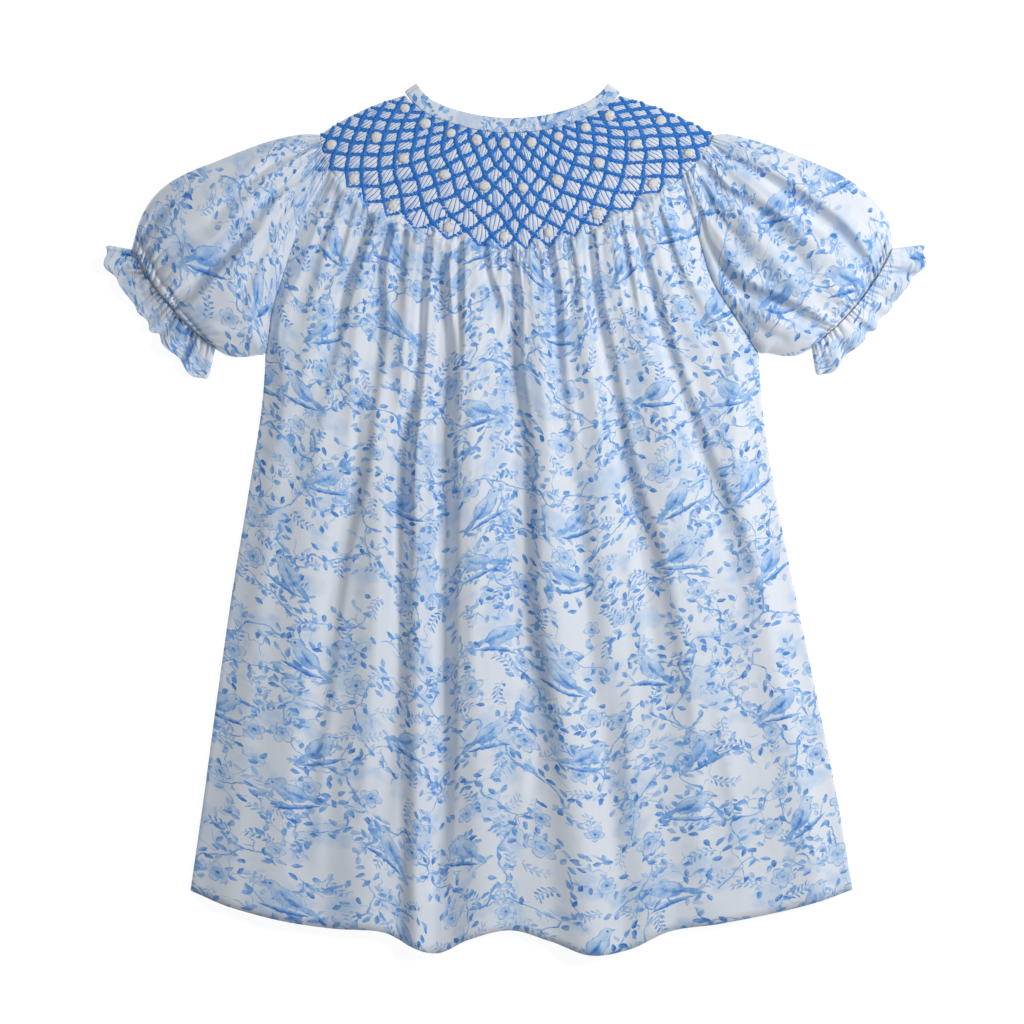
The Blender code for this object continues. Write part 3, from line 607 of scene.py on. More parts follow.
# The front body panel: one width of printed lawn, pleated fine into the smocking. The pleats open
# below the yoke, run together into a few deep leaning folds, and fade to soft waves at the hem.
FRONT_TOP = 3.1
EDGE_ROLL = 2.6
FRONT_FOLDS = [
    # share at top, share at middle, share at hem, half width, rise at top, at middle, at hem, lean
    (0.03, 0.050, 0.055, 0.045, 1.5, 2.0, 0.5, 0.1),
    (0.10, 0.125, 0.130, 0.060, 2.5, 4.0, 3.0, 0.2),
    (0.20, 0.245, 0.228, 0.055, 2.5, 6.0, 5.0, 0.2),
    (0.30, 0.335, 0.330, 0.045, 3.0, 7.0, 8.0, 0.2),
    (0.42, 0.445, 0.455, 0.065, 3.5, 9.0, 6.0, 0.3),
    (0.61, 0.595, 0.625, 0.065, 3.5, 8.5, 8.5, 0.3),
    (0.72, 0.695, 0.720, 0.045, 3.0, 4.5, 2.5, 0.2),
    (0.82, 0.815, 0.815, 0.060, 3.0, 6.0, 3.5, 0.2),
    (0.92, 0.930, 0.930, 0.045, 2.0, 3.0, 1.5, 0.1),
]
FOLD_MIDDLE = 0.45
PLEATS = 42
PLEAT_RISE = 1.3
PLEAT_REACH = 0.09
PLEAT_SEED = 11
PINCHES_PER_DIAMOND = 3
PINCH_RISE = 1.8
SMALL_FOLDS = 17
SMALL_RISE = 1.0
SMALL_REACH = 0.5
FRONT_LOFT = 5.2
FRONT_CREASES = [
    # x, y, angle in degrees, half length, half width, depth
    (62.0, 8.0, 28.0, 26.0, 3.0, 0.9),
    (45.0, 20.0, 12.0, 18.0, 2.5, 0.6),
    (95.0, -20.0, -35.0, 22.0, 3.2, 0.7),
    (120.0, -168.0, 15.0, 34.0, 4.0, 0.9),
    (80.0, -172.0, -8.0, 24.0, 3.0, 0.6),
    (-120.0, -60.0, 70.0, 40.0, 5.0, 0.8),
    (-95.0, -150.0, 82.0, 46.0, 5.0, 0.9),
    (-20.0, -60.0, 84.0, 40.0, 3.5, 0.8),
    (12.0, -150.0, 78.0, 40.0, 4.0, 0.8),
    (150.0, -90.0, 60.0, 34.0, 5.0, 0.8),
    (-140.0, 40.0, 75.0, 34.0, 4.0, 0.8),
    (128.0, 60.0, 110.0, 30.0, 4.0, 0.7),
]


CREASE_BEND = 0.0035
LIP_RISE = 0.6
LIP_AWAY = 1.7


def creased(points, creases):
    """Press soft troughs into a sheet, each a slightly bent line that fades at both ends."""
    for x, y, degrees, half_length, half_width, depth in creases:
        angle = math.radians(degrees)
        away_x = points[..., 0] - x
        away_y = points[..., 1] - y
        run = away_x * math.cos(angle) + away_y * math.sin(angle)
        off = away_y * math.cos(angle) - away_x * math.sin(angle)
        off += CREASE_BEND * run ** 2
        fade = np.exp(-(run / half_length) ** 2)
        lip = np.exp(-((off - LIP_AWAY * half_width) / half_width) ** 2)
        trough = np.exp(-(off / half_width) ** 2) - LIP_RISE * lip
        points[..., 2] -= depth * fade * trough
    return points


FRONT_VALLEYS = [
    # points down the valley, then its depths and half widths in millimetres, evenly counted along it
    ([(-86.0, 176.0), (-95.1, 151.8), (-101.7, 132.6), (-107.1, 111.6), (-114.3, 87.6), (-121.5, 60.6),
      (-127.0, 25.0)],
     (5.0, 5.5, 3.0, 2.5, 1.5), (3.0, 4.5, 5.5, 7.0, 8.0)),
    ([(-74.0, 172.0), (-80.1, 151.8), (-82.5, 111.6), (-86.7, 74.6), (-91.5, 30.6), (-104.0, -26.0),
      (-113.1, -95.4), (-120.9, -143.4), (-127.0, -205.0)],
     (6.5, 6.0, 4.0, 3.8, 3.4, 2.8, 1.2), (3.2, 7.0, 6.0, 6.0, 6.5, 7.0, 8.0)),
    ([(-50.0, 170.0), (-54.3, 132.6), (-57.9, 87.6), (-65.1, 30.6), (-67.8, -26.0), (-71.7, -95.4),
      (-82.5, -197.4)],
     (7.0, 6.5, 8.5, 7.0, 4.0, 3.0, 1.5), (3.0, 4.5, 5.5, 6.5, 7.0, 7.5, 9.0)),
    ([(-41.0, 150.0), (-40.5, 111.6), (-41.5, 60.6), (-41.7, 0.0), (-43.0, -60.0), (-42.3, -143.4),
      (-46.5, -215.0)],
     (7.0, 8.5, 8.5, 6.5, 7.0, 5.5, 3.5), (3.0, 6.5, 7.0, 8.0, 8.0, 7.5, 8.0)),
    ([(-31.0, 168.0), (-31.5, 132.6), (-32.8, 100.0), (-36.0, 62.0)],
     (4.5, 4.5, 3.0, 1.5), (2.4, 3.0, 4.0, 5.0)),
    ([(-17.0, 166.0), (-14.0, 146.0), (-8.1, 128.0), (-7.0, 95.0)],
     (4.2, 4.2, 3.8, 1.0), (2.6, 3.2, 4.0, 4.5)),
    ([(-0.9, 166.0), (2.0, 132.6), (0.4, 96.0), (3.9, 55.0), (5.5, 0.0), (5.0, -47.4), (12.0, -95.4),
      (21.0, -160.0)],
     (5.0, 7.5, 7.0, 3.6, 4.2, 5.2, 3.0, 1.2), (2.8, 4.5, 6.0, 8.0, 8.5, 9.0, 10.0, 11.0)),
    ([(14.5, 166.0), (17.1, 148.0), (17.6, 125.0)], (2.8, 2.6, 0.8), (2.2, 2.8, 3.5)),
    ([(22.0, 168.0), (26.1, 132.6), (26.5, 95.0), (33.3, 30.6), (40.0, -20.0)],
     (7.0, 6.5, 4.0, 2.4, 1.0), (3.0, 4.5, 5.5, 7.0, 8.0)),
    ([(47.0, 170.0), (50.1, 132.6), (57.9, 87.6), (66.9, 30.6), (80.0, -15.0), (95.1, -95.4),
      (104.0, -150.0)],
     (6.5, 6.2, 6.4, 6.2, 3.8, 2.2, 1.0), (3.0, 5.0, 6.5, 7.0, 9.0, 9.0, 10.0)),
    ([(66.0, 174.0), (69.3, 152.0), (74.0, 118.0)], (4.5, 4.5, 0.8), (2.6, 3.4, 4.0)),
    ([(74.0, 176.0), (83.5, 138.0), (91.0, 108.0), (105.9, 60.6), (124.0, 10.0), (146.0, -55.0)],
     (5.0, 6.4, 7.4, 5.8, 3.0, 1.0), (3.0, 5.0, 6.0, 6.5, 8.0, 9.0)),
    ([(90.0, 180.0), (98.0, 151.8), (108.0, 130.0), (122.0, 104.0), (130.0, 78.0)],
     (3.8, 3.5, 2.6, 2.4, 1.0), (2.8, 4.0, 5.5, 6.0, 6.5)),
    ([(-97.0, 185.0), (-104.0, 160.0), (-110.0, 138.0)], (3.0, 2.6, 0.8), (2.6, 3.4, 4.5)),
    ([(-106.0, 192.0), (-116.0, 162.0), (-126.0, 128.0)], (2.4, 2.2, 1.0), (2.8, 4.0, 5.0)),
    ([(-64.0, 170.0), (-67.0, 148.0), (-69.0, 118.0)], (2.6, 2.2, 0.6), (2.6, 3.4, 4.5)),
    ([(34.0, 168.0), (37.0, 148.0), (40.0, 118.0)], (2.6, 2.2, 0.6), (2.6, 3.2, 4.0)),
    ([(101.0, 188.0), (112.0, 164.0), (122.0, 140.0)], (2.6, 2.2, 0.8), (2.8, 3.6, 4.5)),
    ([(68.0, -70.0), (62.0, -120.0), (57.0, -190.0)], (0.8, 2.4, 1.0), (6.0, 8.0, 9.0)),
    ([(116.0, -110.0), (122.0, -160.0), (126.0, -215.0)], (0.8, 2.4, 1.4), (6.0, 8.0, 9.0)),
]
WALL_POWER = 3.2
VALLEY_SHIFT = 3.0
VALLEY_STARTS = 12.0
VALLEY_ENDS = 14.0
SHOULDER_AWAY = 1.35
SHOULDER_WIDE = 0.5
SHOULDER_RISE = 0.16


def valleys_height(points, table):
    """Depth of the listed valleys between flutes, and the crisp shoulder to the right of each."""
    height = np.zeros(points.shape[:2])
    for line, depths, widths in table:
        steps = along(line, np.linspace(0.0, 1.0, 60))
        ends = steps[-1] - steps[0]
        ends /= np.linalg.norm(ends)
        aside = np.array([-ends[1], ends[0]])
        run = (steps - steps[0]) @ ends
        place = points[..., :2] - steps[0]
        down = place @ ends
        share = np.clip(down / run[-1], 0.0, 1.0)
        away = place @ aside - np.interp(down, run, (steps - steps[0]) @ aside) + VALLEY_SHIFT
        depth = np.interp(share, np.linspace(0.0, 1.0, len(depths)), depths)
        width = np.interp(share, np.linspace(0.0, 1.0, len(widths)), widths)
        fade = smooth((down + VALLEY_STARTS) / VALLEY_STARTS)
        fade = fade * smooth((run[-1] + VALLEY_ENDS - down) / VALLEY_ENDS)
        shoulder = np.exp(-((away - width * SHOULDER_AWAY) / (width * SHOULDER_WIDE)) ** 2)
        trough = np.exp(-np.abs(away / width) ** WALL_POWER)
        height += fade * depth * (SHOULDER_RISE * shoulder - trough)
    return height


def folds_height(s, v, table):
    """Height and lean of the main folds, whose ridges wander from top to hem."""
    height = np.zeros(np.broadcast(s, v).shape)
    lean = np.zeros_like(height)
    upper = smooth(v / FOLD_MIDDLE)
    lower = smooth((v - FOLD_MIDDLE) / (1.0 - FOLD_MIDDLE))
    for top, middle, hem, half_width, rise_top, rise_middle, rise_hem, tilt in table:
        centre = mix(mix(top, middle, upper), hem, lower)
        rise = mix(mix(rise_top, rise_middle, upper), rise_hem, lower)
        away = np.clip((s - centre) / half_width, -1.0, 1.0)
        bump = rise * np.cos(0.5 * math.pi * away) ** 2
        height += bump
        lean += bump * tilt
    return height, lean


def pleats_height(s, v, count, rise, seed, longest):
    """Rounded pleats side by side, each with its own height and length, sharp in the valleys."""
    chance = np.random.default_rng(seed)
    rises = rise * chance.uniform(0.55, 1.0, count)
    lengths = longest * chance.uniform(0.4, 1.0, count)
    widths = np.cumsum(chance.uniform(0.55, 1.45, count))
    bounds = np.concatenate([[0.0], widths]) / widths[-1]
    drift = 0.35 / count * np.sin(7.0 * v / longest ** 0.5 + 23.0 * s)
    place = np.interp(s + drift * np.sin(math.pi * s), bounds, np.arange(count + 1.0))
    which = np.clip(place.astype(int), 0, count - 1)
    dome = np.abs(np.sin(math.pi * (place - which))) ** 0.75
    return rises[which] * dome * np.exp(-(v / lengths[which]) ** 1.6)


def rolled_edge(s, width, roll, drop, first=1.0, last=1.0):
    """How far a sheet's side edges curl down to the layer below; a share is 0 where one is seamed on."""
    lowered = 0.0
    for near, share in ((s * width, first), ((1.0 - s) * width, last)):
        inside = np.clip(1.0 - near / roll, 0.0, 1.0)
        lowered = lowered + drop * share * (1.0 - np.sqrt(1.0 - inside ** 2))
    return lowered


def tucked(points, first, last, reach, drop):
    """Add a column beyond each side edge that runs on under the neighbour, where there is a seam."""
    sides = []
    for edge, inner, share in ((points[:, 0], points[:, 3], first), (points[:, -1], points[:, -4], last)):
        out = edge[:, :2] - inner[:, :2]
        out /= np.linalg.norm(out, axis=1)[:, None]
        share = np.broadcast_to(share, len(points))[:, None]
        sides.append(np.hstack([edge[:, :2] + out * reach * share, edge[:, 2:] - drop * share]))
    return np.concatenate([sides[0][:, None], points, sides[1][:, None]], axis=1)


NECK_HALF_WIDTH = 62.6
NECK_TIP_Y = 255.8
NECK_DROP = 18.2
NECK_CENTRE_X = -2.4
NECK_CURL_LEFT = (3.2, 2.9)
NECK_CURL_RIGHT = (-2.3, 2.6)
NECK_CURL_REACH = 0.15
BINDING_WIDTH = 8.8
SEAM_GAP = 0.3
DIAMONDS_ROUND = 19
DIAMONDS_DEEP = 5
PLEATS_PER_DIAMOND = 6
YOKE_LOFT = 2.6
YOKE_ARCH = 2.6


def neck_line(share, offset):
    """The neckline, a round arc whose tips curl up, moved up into the neck by the offset."""
    share = np.asarray(share, dtype=float)
    radius = (NECK_HALF_WIDTH ** 2 + NECK_DROP ** 2) / (2.0 * NECK_DROP)
    reach = math.asin(NECK_HALF_WIDTH / radius)
    angle = mix(-reach, reach, share)
    x = NECK_CENTRE_X + (radius - offset) * np.sin(angle)
    y = NECK_TIP_Y - NECK_DROP + radius - (radius - offset) * np.cos(angle)
    for end, curl_x, curl_y in ((share, *NECK_CURL_LEFT), (1.0 - share, *NECK_CURL_RIGHT)):
        curl = np.clip(1.0 - end / NECK_CURL_REACH, 0.0, 1.0) ** 2
        x = x + curl * (curl_x + 0.42 * offset * np.sign(curl_x))
        y = y + curl * (curl_y - 0.20 * offset)
    return np.stack([x, y], axis=-1)


def neck_seam(share):
    """The edge where the yoke meets the binding."""
    return neck_line(share, -0.5 * BINDING_WIDTH - SEAM_GAP)


def yoke_plan(s, v):
    """Plan points of the ring at arrays of shares across and down."""
    stray = np.sin(math.pi * s) ** 0.5
    around = 0.075 * np.sin(31.0 * s + 9.0 * v) + 0.05 * np.sin(67.0 * s - 15.0 * v)
    inward = 0.20 * np.sin(43.0 * s + 7.0 * v) + 0.12 * np.sin(91.0 * s)
    s = s + stray * around / DIAMONDS_ROUND
    v = v + stray * v * (1.0 - v) * inward / DIAMONDS_DEEP
    arch = YOKE_ARCH * 4.0 * v * (1.0 - v)
    inner = neck_seam(s)
    outer = yoke_edge(s)
    plan = mix(inner, outer, np.asarray(v)[..., None])
    for end, sign in ((0.0, 1.0), (1.0, -1.0)):
        chord = yoke_edge(end) - neck_seam(end)
        chord = chord / np.linalg.norm(chord)
        outward = np.array([-chord[1], chord[0]]) * -sign
        weight = (1.0 - s) if end == 0.0 else s
        plan = plan + outward * (arch * weight)[..., None]
    return plan


def yoke_base(s, v):
    """Height of the yoke without its pleats."""
    edge = smooth(np.minimum(s, 1.0 - s) / 0.12)
    return FRONT_TOP + 0.3 + YOKE_LOFT * edge * (0.55 + 0.45 * v)


def trellis_gap(s, v):
    """How far a place is from the lines of the trellis, from 0 on a line to 1 in a diamond's middle."""
    first = s * DIAMONDS_ROUND + v * DIAMONDS_DEEP
    second = s * DIAMONDS_ROUND - v * DIAMONDS_DEEP
    near = np.minimum(np.abs(first - np.round(first)), np.abs(second - np.round(second)))
    return 2.0 * near


FRONT_LENGTH = 480.0
FRONT_WIDTH = 330.0
YOKE_DEPTH = 60.0
FOLD_SHARE = 0.8
ARMPIT_ROLL = 5.0
FINE_RISE = 0.9
EDGE_RISE = 0.9
POINT_DROP = 3.2

front_shares = shares(300)
front_rows = np.concatenate([np.linspace(0.0, 3.0, 48), np.linspace(3.0, len(BODY_SIDES), 80)[1:]])
front_plan, front_down = body_plan(front_shares, front_rows, 0.0)
rise_depths = np.linspace(0.872, 0.995, 9)
rise_shares = np.broadcast_to(mix(BODY_FROM, BODY_TO, front_shares), (len(rise_depths), len(front_shares)))
rise_depths = np.broadcast_to(rise_depths[:, None], rise_shares.shape)
front_plan = np.concatenate([yoke_plan(rise_shares, rise_depths), front_plan])
front_down = np.concatenate([np.zeros((len(rise_depths), 1)), front_down])
front_rows = np.concatenate([np.zeros(len(rise_depths)), front_rows])
below_edge = front_down * FRONT_LENGTH + np.zeros(front_plan.shape[:2])
below_edge[:len(rise_depths)] = (rise_depths - 1.0) * YOKE_DEPTH
wide = front_shares[None, :]
seamed = 1.0 - smooth((front_rows - 4.4) / 1.0)[:, None]
armpit = smooth((front_rows - 1.5) / 2.5)[:, None]
edge_fade = smooth(np.minimum(wide, 1.0 - wide) / mix(0.07, 0.032, armpit * seamed))
side_fade = smooth(np.minimum(wide, 1.0 - wide) / 0.02)
grown = mix(0.4, 1.0, smooth((below_edge + 7.0) / 15.0))
front_height, front_lean = folds_height(wide, front_down, FRONT_FOLDS)
pleats = pleats_height(wide, front_down, PLEATS, PLEAT_RISE, PLEAT_SEED, PLEAT_REACH)
small = pleats_height(wide, front_down, SMALL_FOLDS, SMALL_RISE, PLEAT_SEED + 1, SMALL_REACH)
small = small * smooth(front_down / 0.12)
front_height = FOLD_SHARE * front_height * edge_fade * grown + (pleats + small) * side_fade * grown
front_height += FRONT_LOFT * edge_fade * grown
front_height = FRONT_TOP + front_height + 0.6 * seamed * (1.0 - edge_fade)
loose = 1.0 - seamed * (1.0 - armpit)
armpit_roll = EDGE_ROLL + ARMPIT_ROLL * armpit * seamed
front_height -= rolled_edge(wide, FRONT_WIDTH, armpit_roll, FRONT_TOP - 1.3, loose, loose)
fine_pleats = np.abs(np.sin(math.pi * DIAMONDS_ROUND * PLEATS_PER_DIAMOND * mix(BODY_FROM, BODY_TO, wide)))
front_height += FINE_RISE * fine_pleats * (1.0 - smooth((below_edge + 2.0) / 10.0)) * side_fade
front_height += EDGE_RISE * (1.0 - smooth(below_edge / 9.0)) * (below_edge >= 0.0) * edge_fade
pinches = np.abs(np.sin(math.pi * DIAMONDS_ROUND * PINCHES_PER_DIAMOND * mix(BODY_FROM, BODY_TO, wide)))
pinch_fade = smooth(below_edge / 3.0) * (1.0 - smooth(below_edge / (14.0 + 5.0 * np.sin(40.0 * wide))))
front_height += PINCH_RISE * pinches ** 0.8 * pinch_fade * side_fade
point_away = np.abs(rise_shares * DIAMONDS_ROUND - np.round(rise_shares * DIAMONDS_ROUND))
between = smooth((point_away - (1.0 - rise_depths) * DIAMONDS_DEEP + 0.05) / 0.16)
front_height[:len(rise_depths)] -= POINT_DROP * (1.0 - between)
rise_up = smooth((below_edge[:len(rise_depths)] + 8.0) / 8.0)
front_height[:len(rise_depths)] += mix(-EDGE_RISE, EDGE_RISE, rise_up) * between
front_points = np.dstack([front_plan, front_height])
front_points[..., 0] -= 0.5 * front_lean * edge_fade * grown
front_points[..., 2] += valleys_height(front_points, FRONT_VALLEYS) * edge_fade * grown
front_points = creased(front_points, FRONT_CREASES)
front_points[..., 2] = np.maximum(front_points[..., 2], mix(1.4, 2.2, edge_fade))
front_points = tucked(front_points, seamed[:, 0], seamed[:, 0], 2.0, 0.8)
front_body = cloth_mesh("front_body_cloth", front_points, flat_place(front_points, (0.0, 1.0)))
lay_cloth(
    front_body, printed_cotton("printed_front", (0.0, 0.0)),
    ["front_skirt"])

# The smocked yoke: the pleated tops of all the panels, drawn up into a ring. Over a hundred fine
# pleats run out from the neck, pinched along the lines of the trellis and puffed between them.
PUFF = 0.75
PLEAT_DEPTH = 0.6
YOKE_SINK = 0.5

pleat_count = DIAMONDS_ROUND * PLEATS_PER_DIAMOND
yoke_shares, yoke_depths = np.meshgrid(np.linspace(0.0, 1.0, pleat_count * 4 + 1), np.linspace(0.0, 1.0, 61))
yoke_points = yoke_plan(yoke_shares, yoke_depths)
wander = 0.10 * np.sin(yoke_depths * 17.0 + yoke_shares * 40.0)
pleat_wave = np.abs(np.sin(math.pi * (yoke_shares * pleat_count + wander))) ** 0.8
gap = trellis_gap(yoke_shares, yoke_depths)
yoke_edge_fade = smooth(np.minimum(yoke_shares, 1.0 - yoke_shares) / 0.01)
yoke_height = yoke_base(yoke_shares, yoke_depths) - YOKE_SINK
yoke_height += (PUFF * smooth(gap * 1.4) + PLEAT_DEPTH * pleat_wave * (0.35 + 0.65 * gap)) * yoke_edge_fade
yoke_height -= (1.0 - yoke_edge_fade) * 1.6
yoke_points = np.dstack([yoke_points, yoke_height])
yoke_flat = np.dstack([yoke_shares * pleat_count, yoke_depths * DIAMONDS_DEEP])
yoke_cloth = cloth_mesh("yoke_pleated_cloth", yoke_points, yoke_flat, 0.3)


def pleated_cotton():
    """White pleats with the blue print showing in their valleys, darker there partly as painted shade in the
    pleat hollows.
    """
    material, tree, shader = new_material("pleated_cotton", 0.6)
    flat = node(tree, "UVMap", uv_map="flat_cut").outputs[0]
    parts = node(tree, "SeparateXYZ", {0: flat}).outputs
    wave = calc(tree, "ABSOLUTE", calc(tree, "SINE", calc(tree, "MULTIPLY", parts[0], math.pi)))
    blotch = noise(tree, flat, 0.8, 3.0)[0]
    fleck = noise(tree, flat, 3.1, 2.0)[0]
    depth = raised(tree, 0.16, blotch, 0.55)
    # The pleat valleys take a deeper blue: partly the print showing there and partly painted shade in the
    # hollows.
    valley_ink_and_painted_shade = soft_range(tree, wave, depth, calc(tree, "MULTIPLY", depth, 0.35))
    ink = calc(tree, "MULTIPLY", valley_ink_and_painted_shade, calc(tree, "ADD", 0.55, fleck), clamp=True)
    pale = toned(tree, soft_range(tree, blotch, 0.56, 0.70), 0.35)
    ramp = node(tree, "ValToRGB", {0: strongest(tree, ink, pale)})
    steps = ramp.color_ramp.elements
    steps[0].color = (0.82, 0.85, 0.90, 1.0)
    steps[1].color = (0.05, 0.20, 0.60, 1.0)
    steps.new(0.45).color = (0.30, 0.50, 0.84, 1.0)
    tree.links.new(ramp.outputs[0], shader.inputs["Base Color"])
    place = vector(tree, "MULTIPLY", flat, (2.2, 13.0, 1.0))
    tree.links.new(weave_bump(tree, place, 0.3, (0.2, 0.1, 0.0)), shader.inputs["Normal"])
    shader.inputs["Sheen Weight"].default_value = 0.2
    return material


lay_cloth(
    yoke_cloth, pleated_cotton(),
    ["yoke_front"])

# The back of the smocked yoke: the same pleated ring, face down on the table under the front.
back_yoke_shares, back_yoke_depths = np.meshgrid(np.linspace(0.0, 1.0, 153), np.linspace(0.0, 1.0, 9))
back_yoke_place = yoke_plan(back_yoke_shares, back_yoke_depths)
back_yoke_height = 0.7 + 0.3 * np.abs(np.sin(math.pi * 38.0 * back_yoke_shares))
back_yoke_points = np.dstack([back_yoke_place, back_yoke_height])
back_yoke_flat = np.dstack([back_yoke_shares * pleat_count, back_yoke_depths * DIAMONDS_DEEP])
back_yoke = cloth_mesh("yoke_back_cloth", back_yoke_points, back_yoke_flat, 0.3)
lay_cloth(
    back_yoke, bpy.data.materials["pleated_cotton"], ["yoke_back"])

# The trellis of the smocking: thick blue floss worked by hand over the pleats in small slanting
# stitches, which cross in diamonds all round the yoke and end in points above the skirt.
FLOSS_BLUE = (0.003, 0.175, 0.62, 1.0)
STITCH_LONG = 3.3
STITCH_WIDE = 1.9
STITCH_SLANT = 0.66
STITCH_LIFT = 0.35
STITCHES_PER_SIDE = 5
STITCH_SEED = 23

bpy.ops.object.select_all(action="DESELECT")
bpy.ops.mesh.primitive_ico_sphere_add(subdivisions=2, radius=0.5, location=(0.0, 0.0, 0.0))
stitch_form = bpy.context.object
stitch_form.name = "stitch_form"
stitch_vertices = np.array([v.co[:] for v in stitch_form.data.vertices])
stitch_faces = np.array([f.vertices[:] for f in stitch_form.data.polygons])


def yoke_surface(s, v):
    """Points on the pleated yoke's crest, in millimetres."""
    crest = yoke_base(s, v) - YOKE_SINK + STITCH_LIFT
    return np.dstack([yoke_plan(s, v), crest])[0]


def many_copies(name, form_vertices, form_faces, places, turns, sizes):
    """One mesh holding a copy of a small form at every place, turned about Z and sized."""
    cos, sin = np.cos(turns)[:, None], np.sin(turns)[:, None]
    scaled = form_vertices[None] * sizes[:, None, :]
    x = scaled[..., 0] * cos - scaled[..., 1] * sin
    y = scaled[..., 0] * sin + scaled[..., 1] * cos
    vertices = np.stack([x, y, scaled[..., 2]], axis=-1) + places[:, None, :]
    offsets = np.arange(len(places))[:, None, None] * len(form_vertices)
    faces = (form_faces[None] + offsets).reshape(-1, form_faces.shape[1])
    mesh = bpy.data.meshes.new(name)
    mesh.from_pydata((vertices.reshape(-1, 3) * MM).tolist(), [], faces.tolist())
    mesh.polygons.foreach_set("use_smooth", np.ones(len(faces), dtype=bool))
    piece = bpy.data.objects.new(name, mesh)
    bpy.context.scene.collection.objects.link(piece)
    return piece


stitch_chance = np.random.default_rng(STITCH_SEED)
stitch_u, stitch_w, stitch_way = [], [], []
for way in (1.0, -1.0):
    for line in range(-DIAMONDS_DEEP, DIAMONDS_ROUND + DIAMONDS_DEEP + 1):
        steps = np.arange(DIAMONDS_DEEP * 2 * STITCHES_PER_SIDE) + 0.5
        w = steps / (2 * STITCHES_PER_SIDE)
        u = line + way * w
        inside = (u > 0.1) & (u < DIAMONDS_ROUND - 0.1)
        stitch_u.append(u[inside])
        stitch_w.append(w[inside])
        stitch_way.append(np.full(inside.sum(), way))
stitch_u = np.concatenate(stitch_u)
stitch_w = np.concatenate(stitch_w)
stitch_way = np.concatenate(stitch_way)
stitch_s = (stitch_u / DIAMONDS_ROUND)[None]
stitch_v = (stitch_w / DIAMONDS_DEEP)[None]
stitch_places = yoke_surface(stitch_s, stitch_v)
stitch_ahead = yoke_surface(stitch_s + stitch_way * 0.01 / DIAMONDS_ROUND, stitch_v + 0.01 / DIAMONDS_DEEP)
stitch_run = stitch_ahead - stitch_places
stitch_turns = np.arctan2(stitch_run[:, 1], stitch_run[:, 0]) + stitch_way * STITCH_SLANT
stitch_turns += stitch_chance.normal(0.0, 0.16, len(stitch_turns))
stitch_places[:, :2] += stitch_chance.normal(0.0, 0.16, (len(stitch_turns), 2))
stitch_places[:, 2] += 0.45 + 0.15 * stitch_way
stitch_spread = stitch_chance.uniform(0.85, 1.15, (len(stitch_turns), 1))
stitch_sizes = np.array([STITCH_LONG, STITCH_WIDE, 1.0]) * stitch_spread
near_fold = np.minimum(stitch_u, DIAMONDS_ROUND - stitch_u)
stitch_sizes[:, 0] *= mix(0.55, 1.0, smooth(near_fold / 0.35))
trellis = many_copies(
    "smocking_floss", stitch_vertices, stitch_faces, stitch_places, stitch_turns, stitch_sizes)
bpy.data.objects.remove(stitch_form)


def floss(name, colour, pale):
    """Stranded cotton floss: fine twisted strands, a soft gloss and lighter flecks."""
    material, tree, shader = new_material(name, 0.5)
    place = node(tree, "TexCoord").outputs["Object"]
    fleck = node(tree, "TexNoise", {"Vector": place, "Scale": 900.0, "Detail": 3.0}).outputs[0]
    broad = node(tree, "TexNoise", {"Vector": place, "Scale": 260.0, "Detail": 2.0}).outputs[0]
    share = calc(tree, "ADD", soft_range(tree, fleck, 0.50, 0.72), soft_range(tree, broad, 0.58, 0.8))
    share = calc(tree, "MULTIPLY", share, 0.5, clamp=True)
    blend = node(tree, "Mix", {0: share, 6: colour, 7: pale}, data_type="RGBA")
    tree.links.new(blend.outputs[2], shader.inputs["Base Color"])
    strands = node(tree, "TexNoise", {"Vector": place, "Scale": 1600.0, "Detail": 1.0}).outputs[0]
    bump = node(tree, "Bump", {"Height": strands, "Strength": 0.5, "Distance": 0.0004})
    tree.links.new(bump.outputs[0], shader.inputs["Normal"])
    shader.inputs["Sheen Weight"].default_value = 0.15
    return material


trellis.data.materials.append(floss("blue_floss", FLOSS_BLUE, (0.03, 0.34, 0.84, 1.0)))
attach(trellis, "root")

# The raised knots: small tight balls of cream floss, wound round the needle and drawn down into
# every other diamond of the first, the middle and the last row.
KNOT_WIDE = 6.9
KNOT_TALL = 3.0
KNOT_CREAM = (0.80, 0.79, 0.78, 1.0)

bpy.ops.object.select_all(action="DESELECT")
bpy.ops.mesh.primitive_uv_sphere_add(segments=28, ring_count=16, radius=0.5, location=(0.0, 0.0, 0.0))
knot_form = bpy.context.object
knot_form.name = "knot_form"
knot_vertices = np.array([v.co[:] for v in knot_form.data.vertices])
knot_turn = np.arctan2(knot_vertices[:, 1], knot_vertices[:, 0])
knot_height = knot_vertices[:, 2]
winding = np.sin(3.0 * knot_turn + 22.0 * knot_height) * np.cos(2.0 * knot_turn - 9.0 * knot_height)
knot_vertices *= (1.0 + 0.08 * winding)[:, None]
knot_quads = np.array([f.vertices[:] for f in knot_form.data.polygons if len(f.vertices) == 4])
knot_caps = np.array([f.vertices[:] for f in knot_form.data.polygons if len(f.vertices) == 3])
knot_faces = np.vstack([knot_quads[:, [0, 1, 2]], knot_quads[:, [0, 2, 3]], knot_caps])
knot_u, knot_w = [], []
for u in range(1, DIAMONDS_ROUND):
    if u % 2 == 1:
        knot_u += [u, u]
        knot_w += [0.5, DIAMONDS_DEEP - 0.5]
    else:
        knot_u.append(u)
        knot_w.append(0.5 * DIAMONDS_DEEP)
knot_chance = np.random.default_rng(31)
knot_count = len(knot_u)
knot_places = yoke_surface(np.array([knot_u]) / DIAMONDS_ROUND, np.array([knot_w]) / DIAMONDS_DEEP)
knot_places[:, 2] += 0.8
knot_turns = knot_chance.uniform(0.0, 2.0 * math.pi, knot_count)
knot_spread = knot_chance.uniform(0.85, 1.05, (knot_count, 1))
knot_sizes = np.array([KNOT_WIDE, KNOT_WIDE * 0.9, KNOT_TALL]) * knot_spread
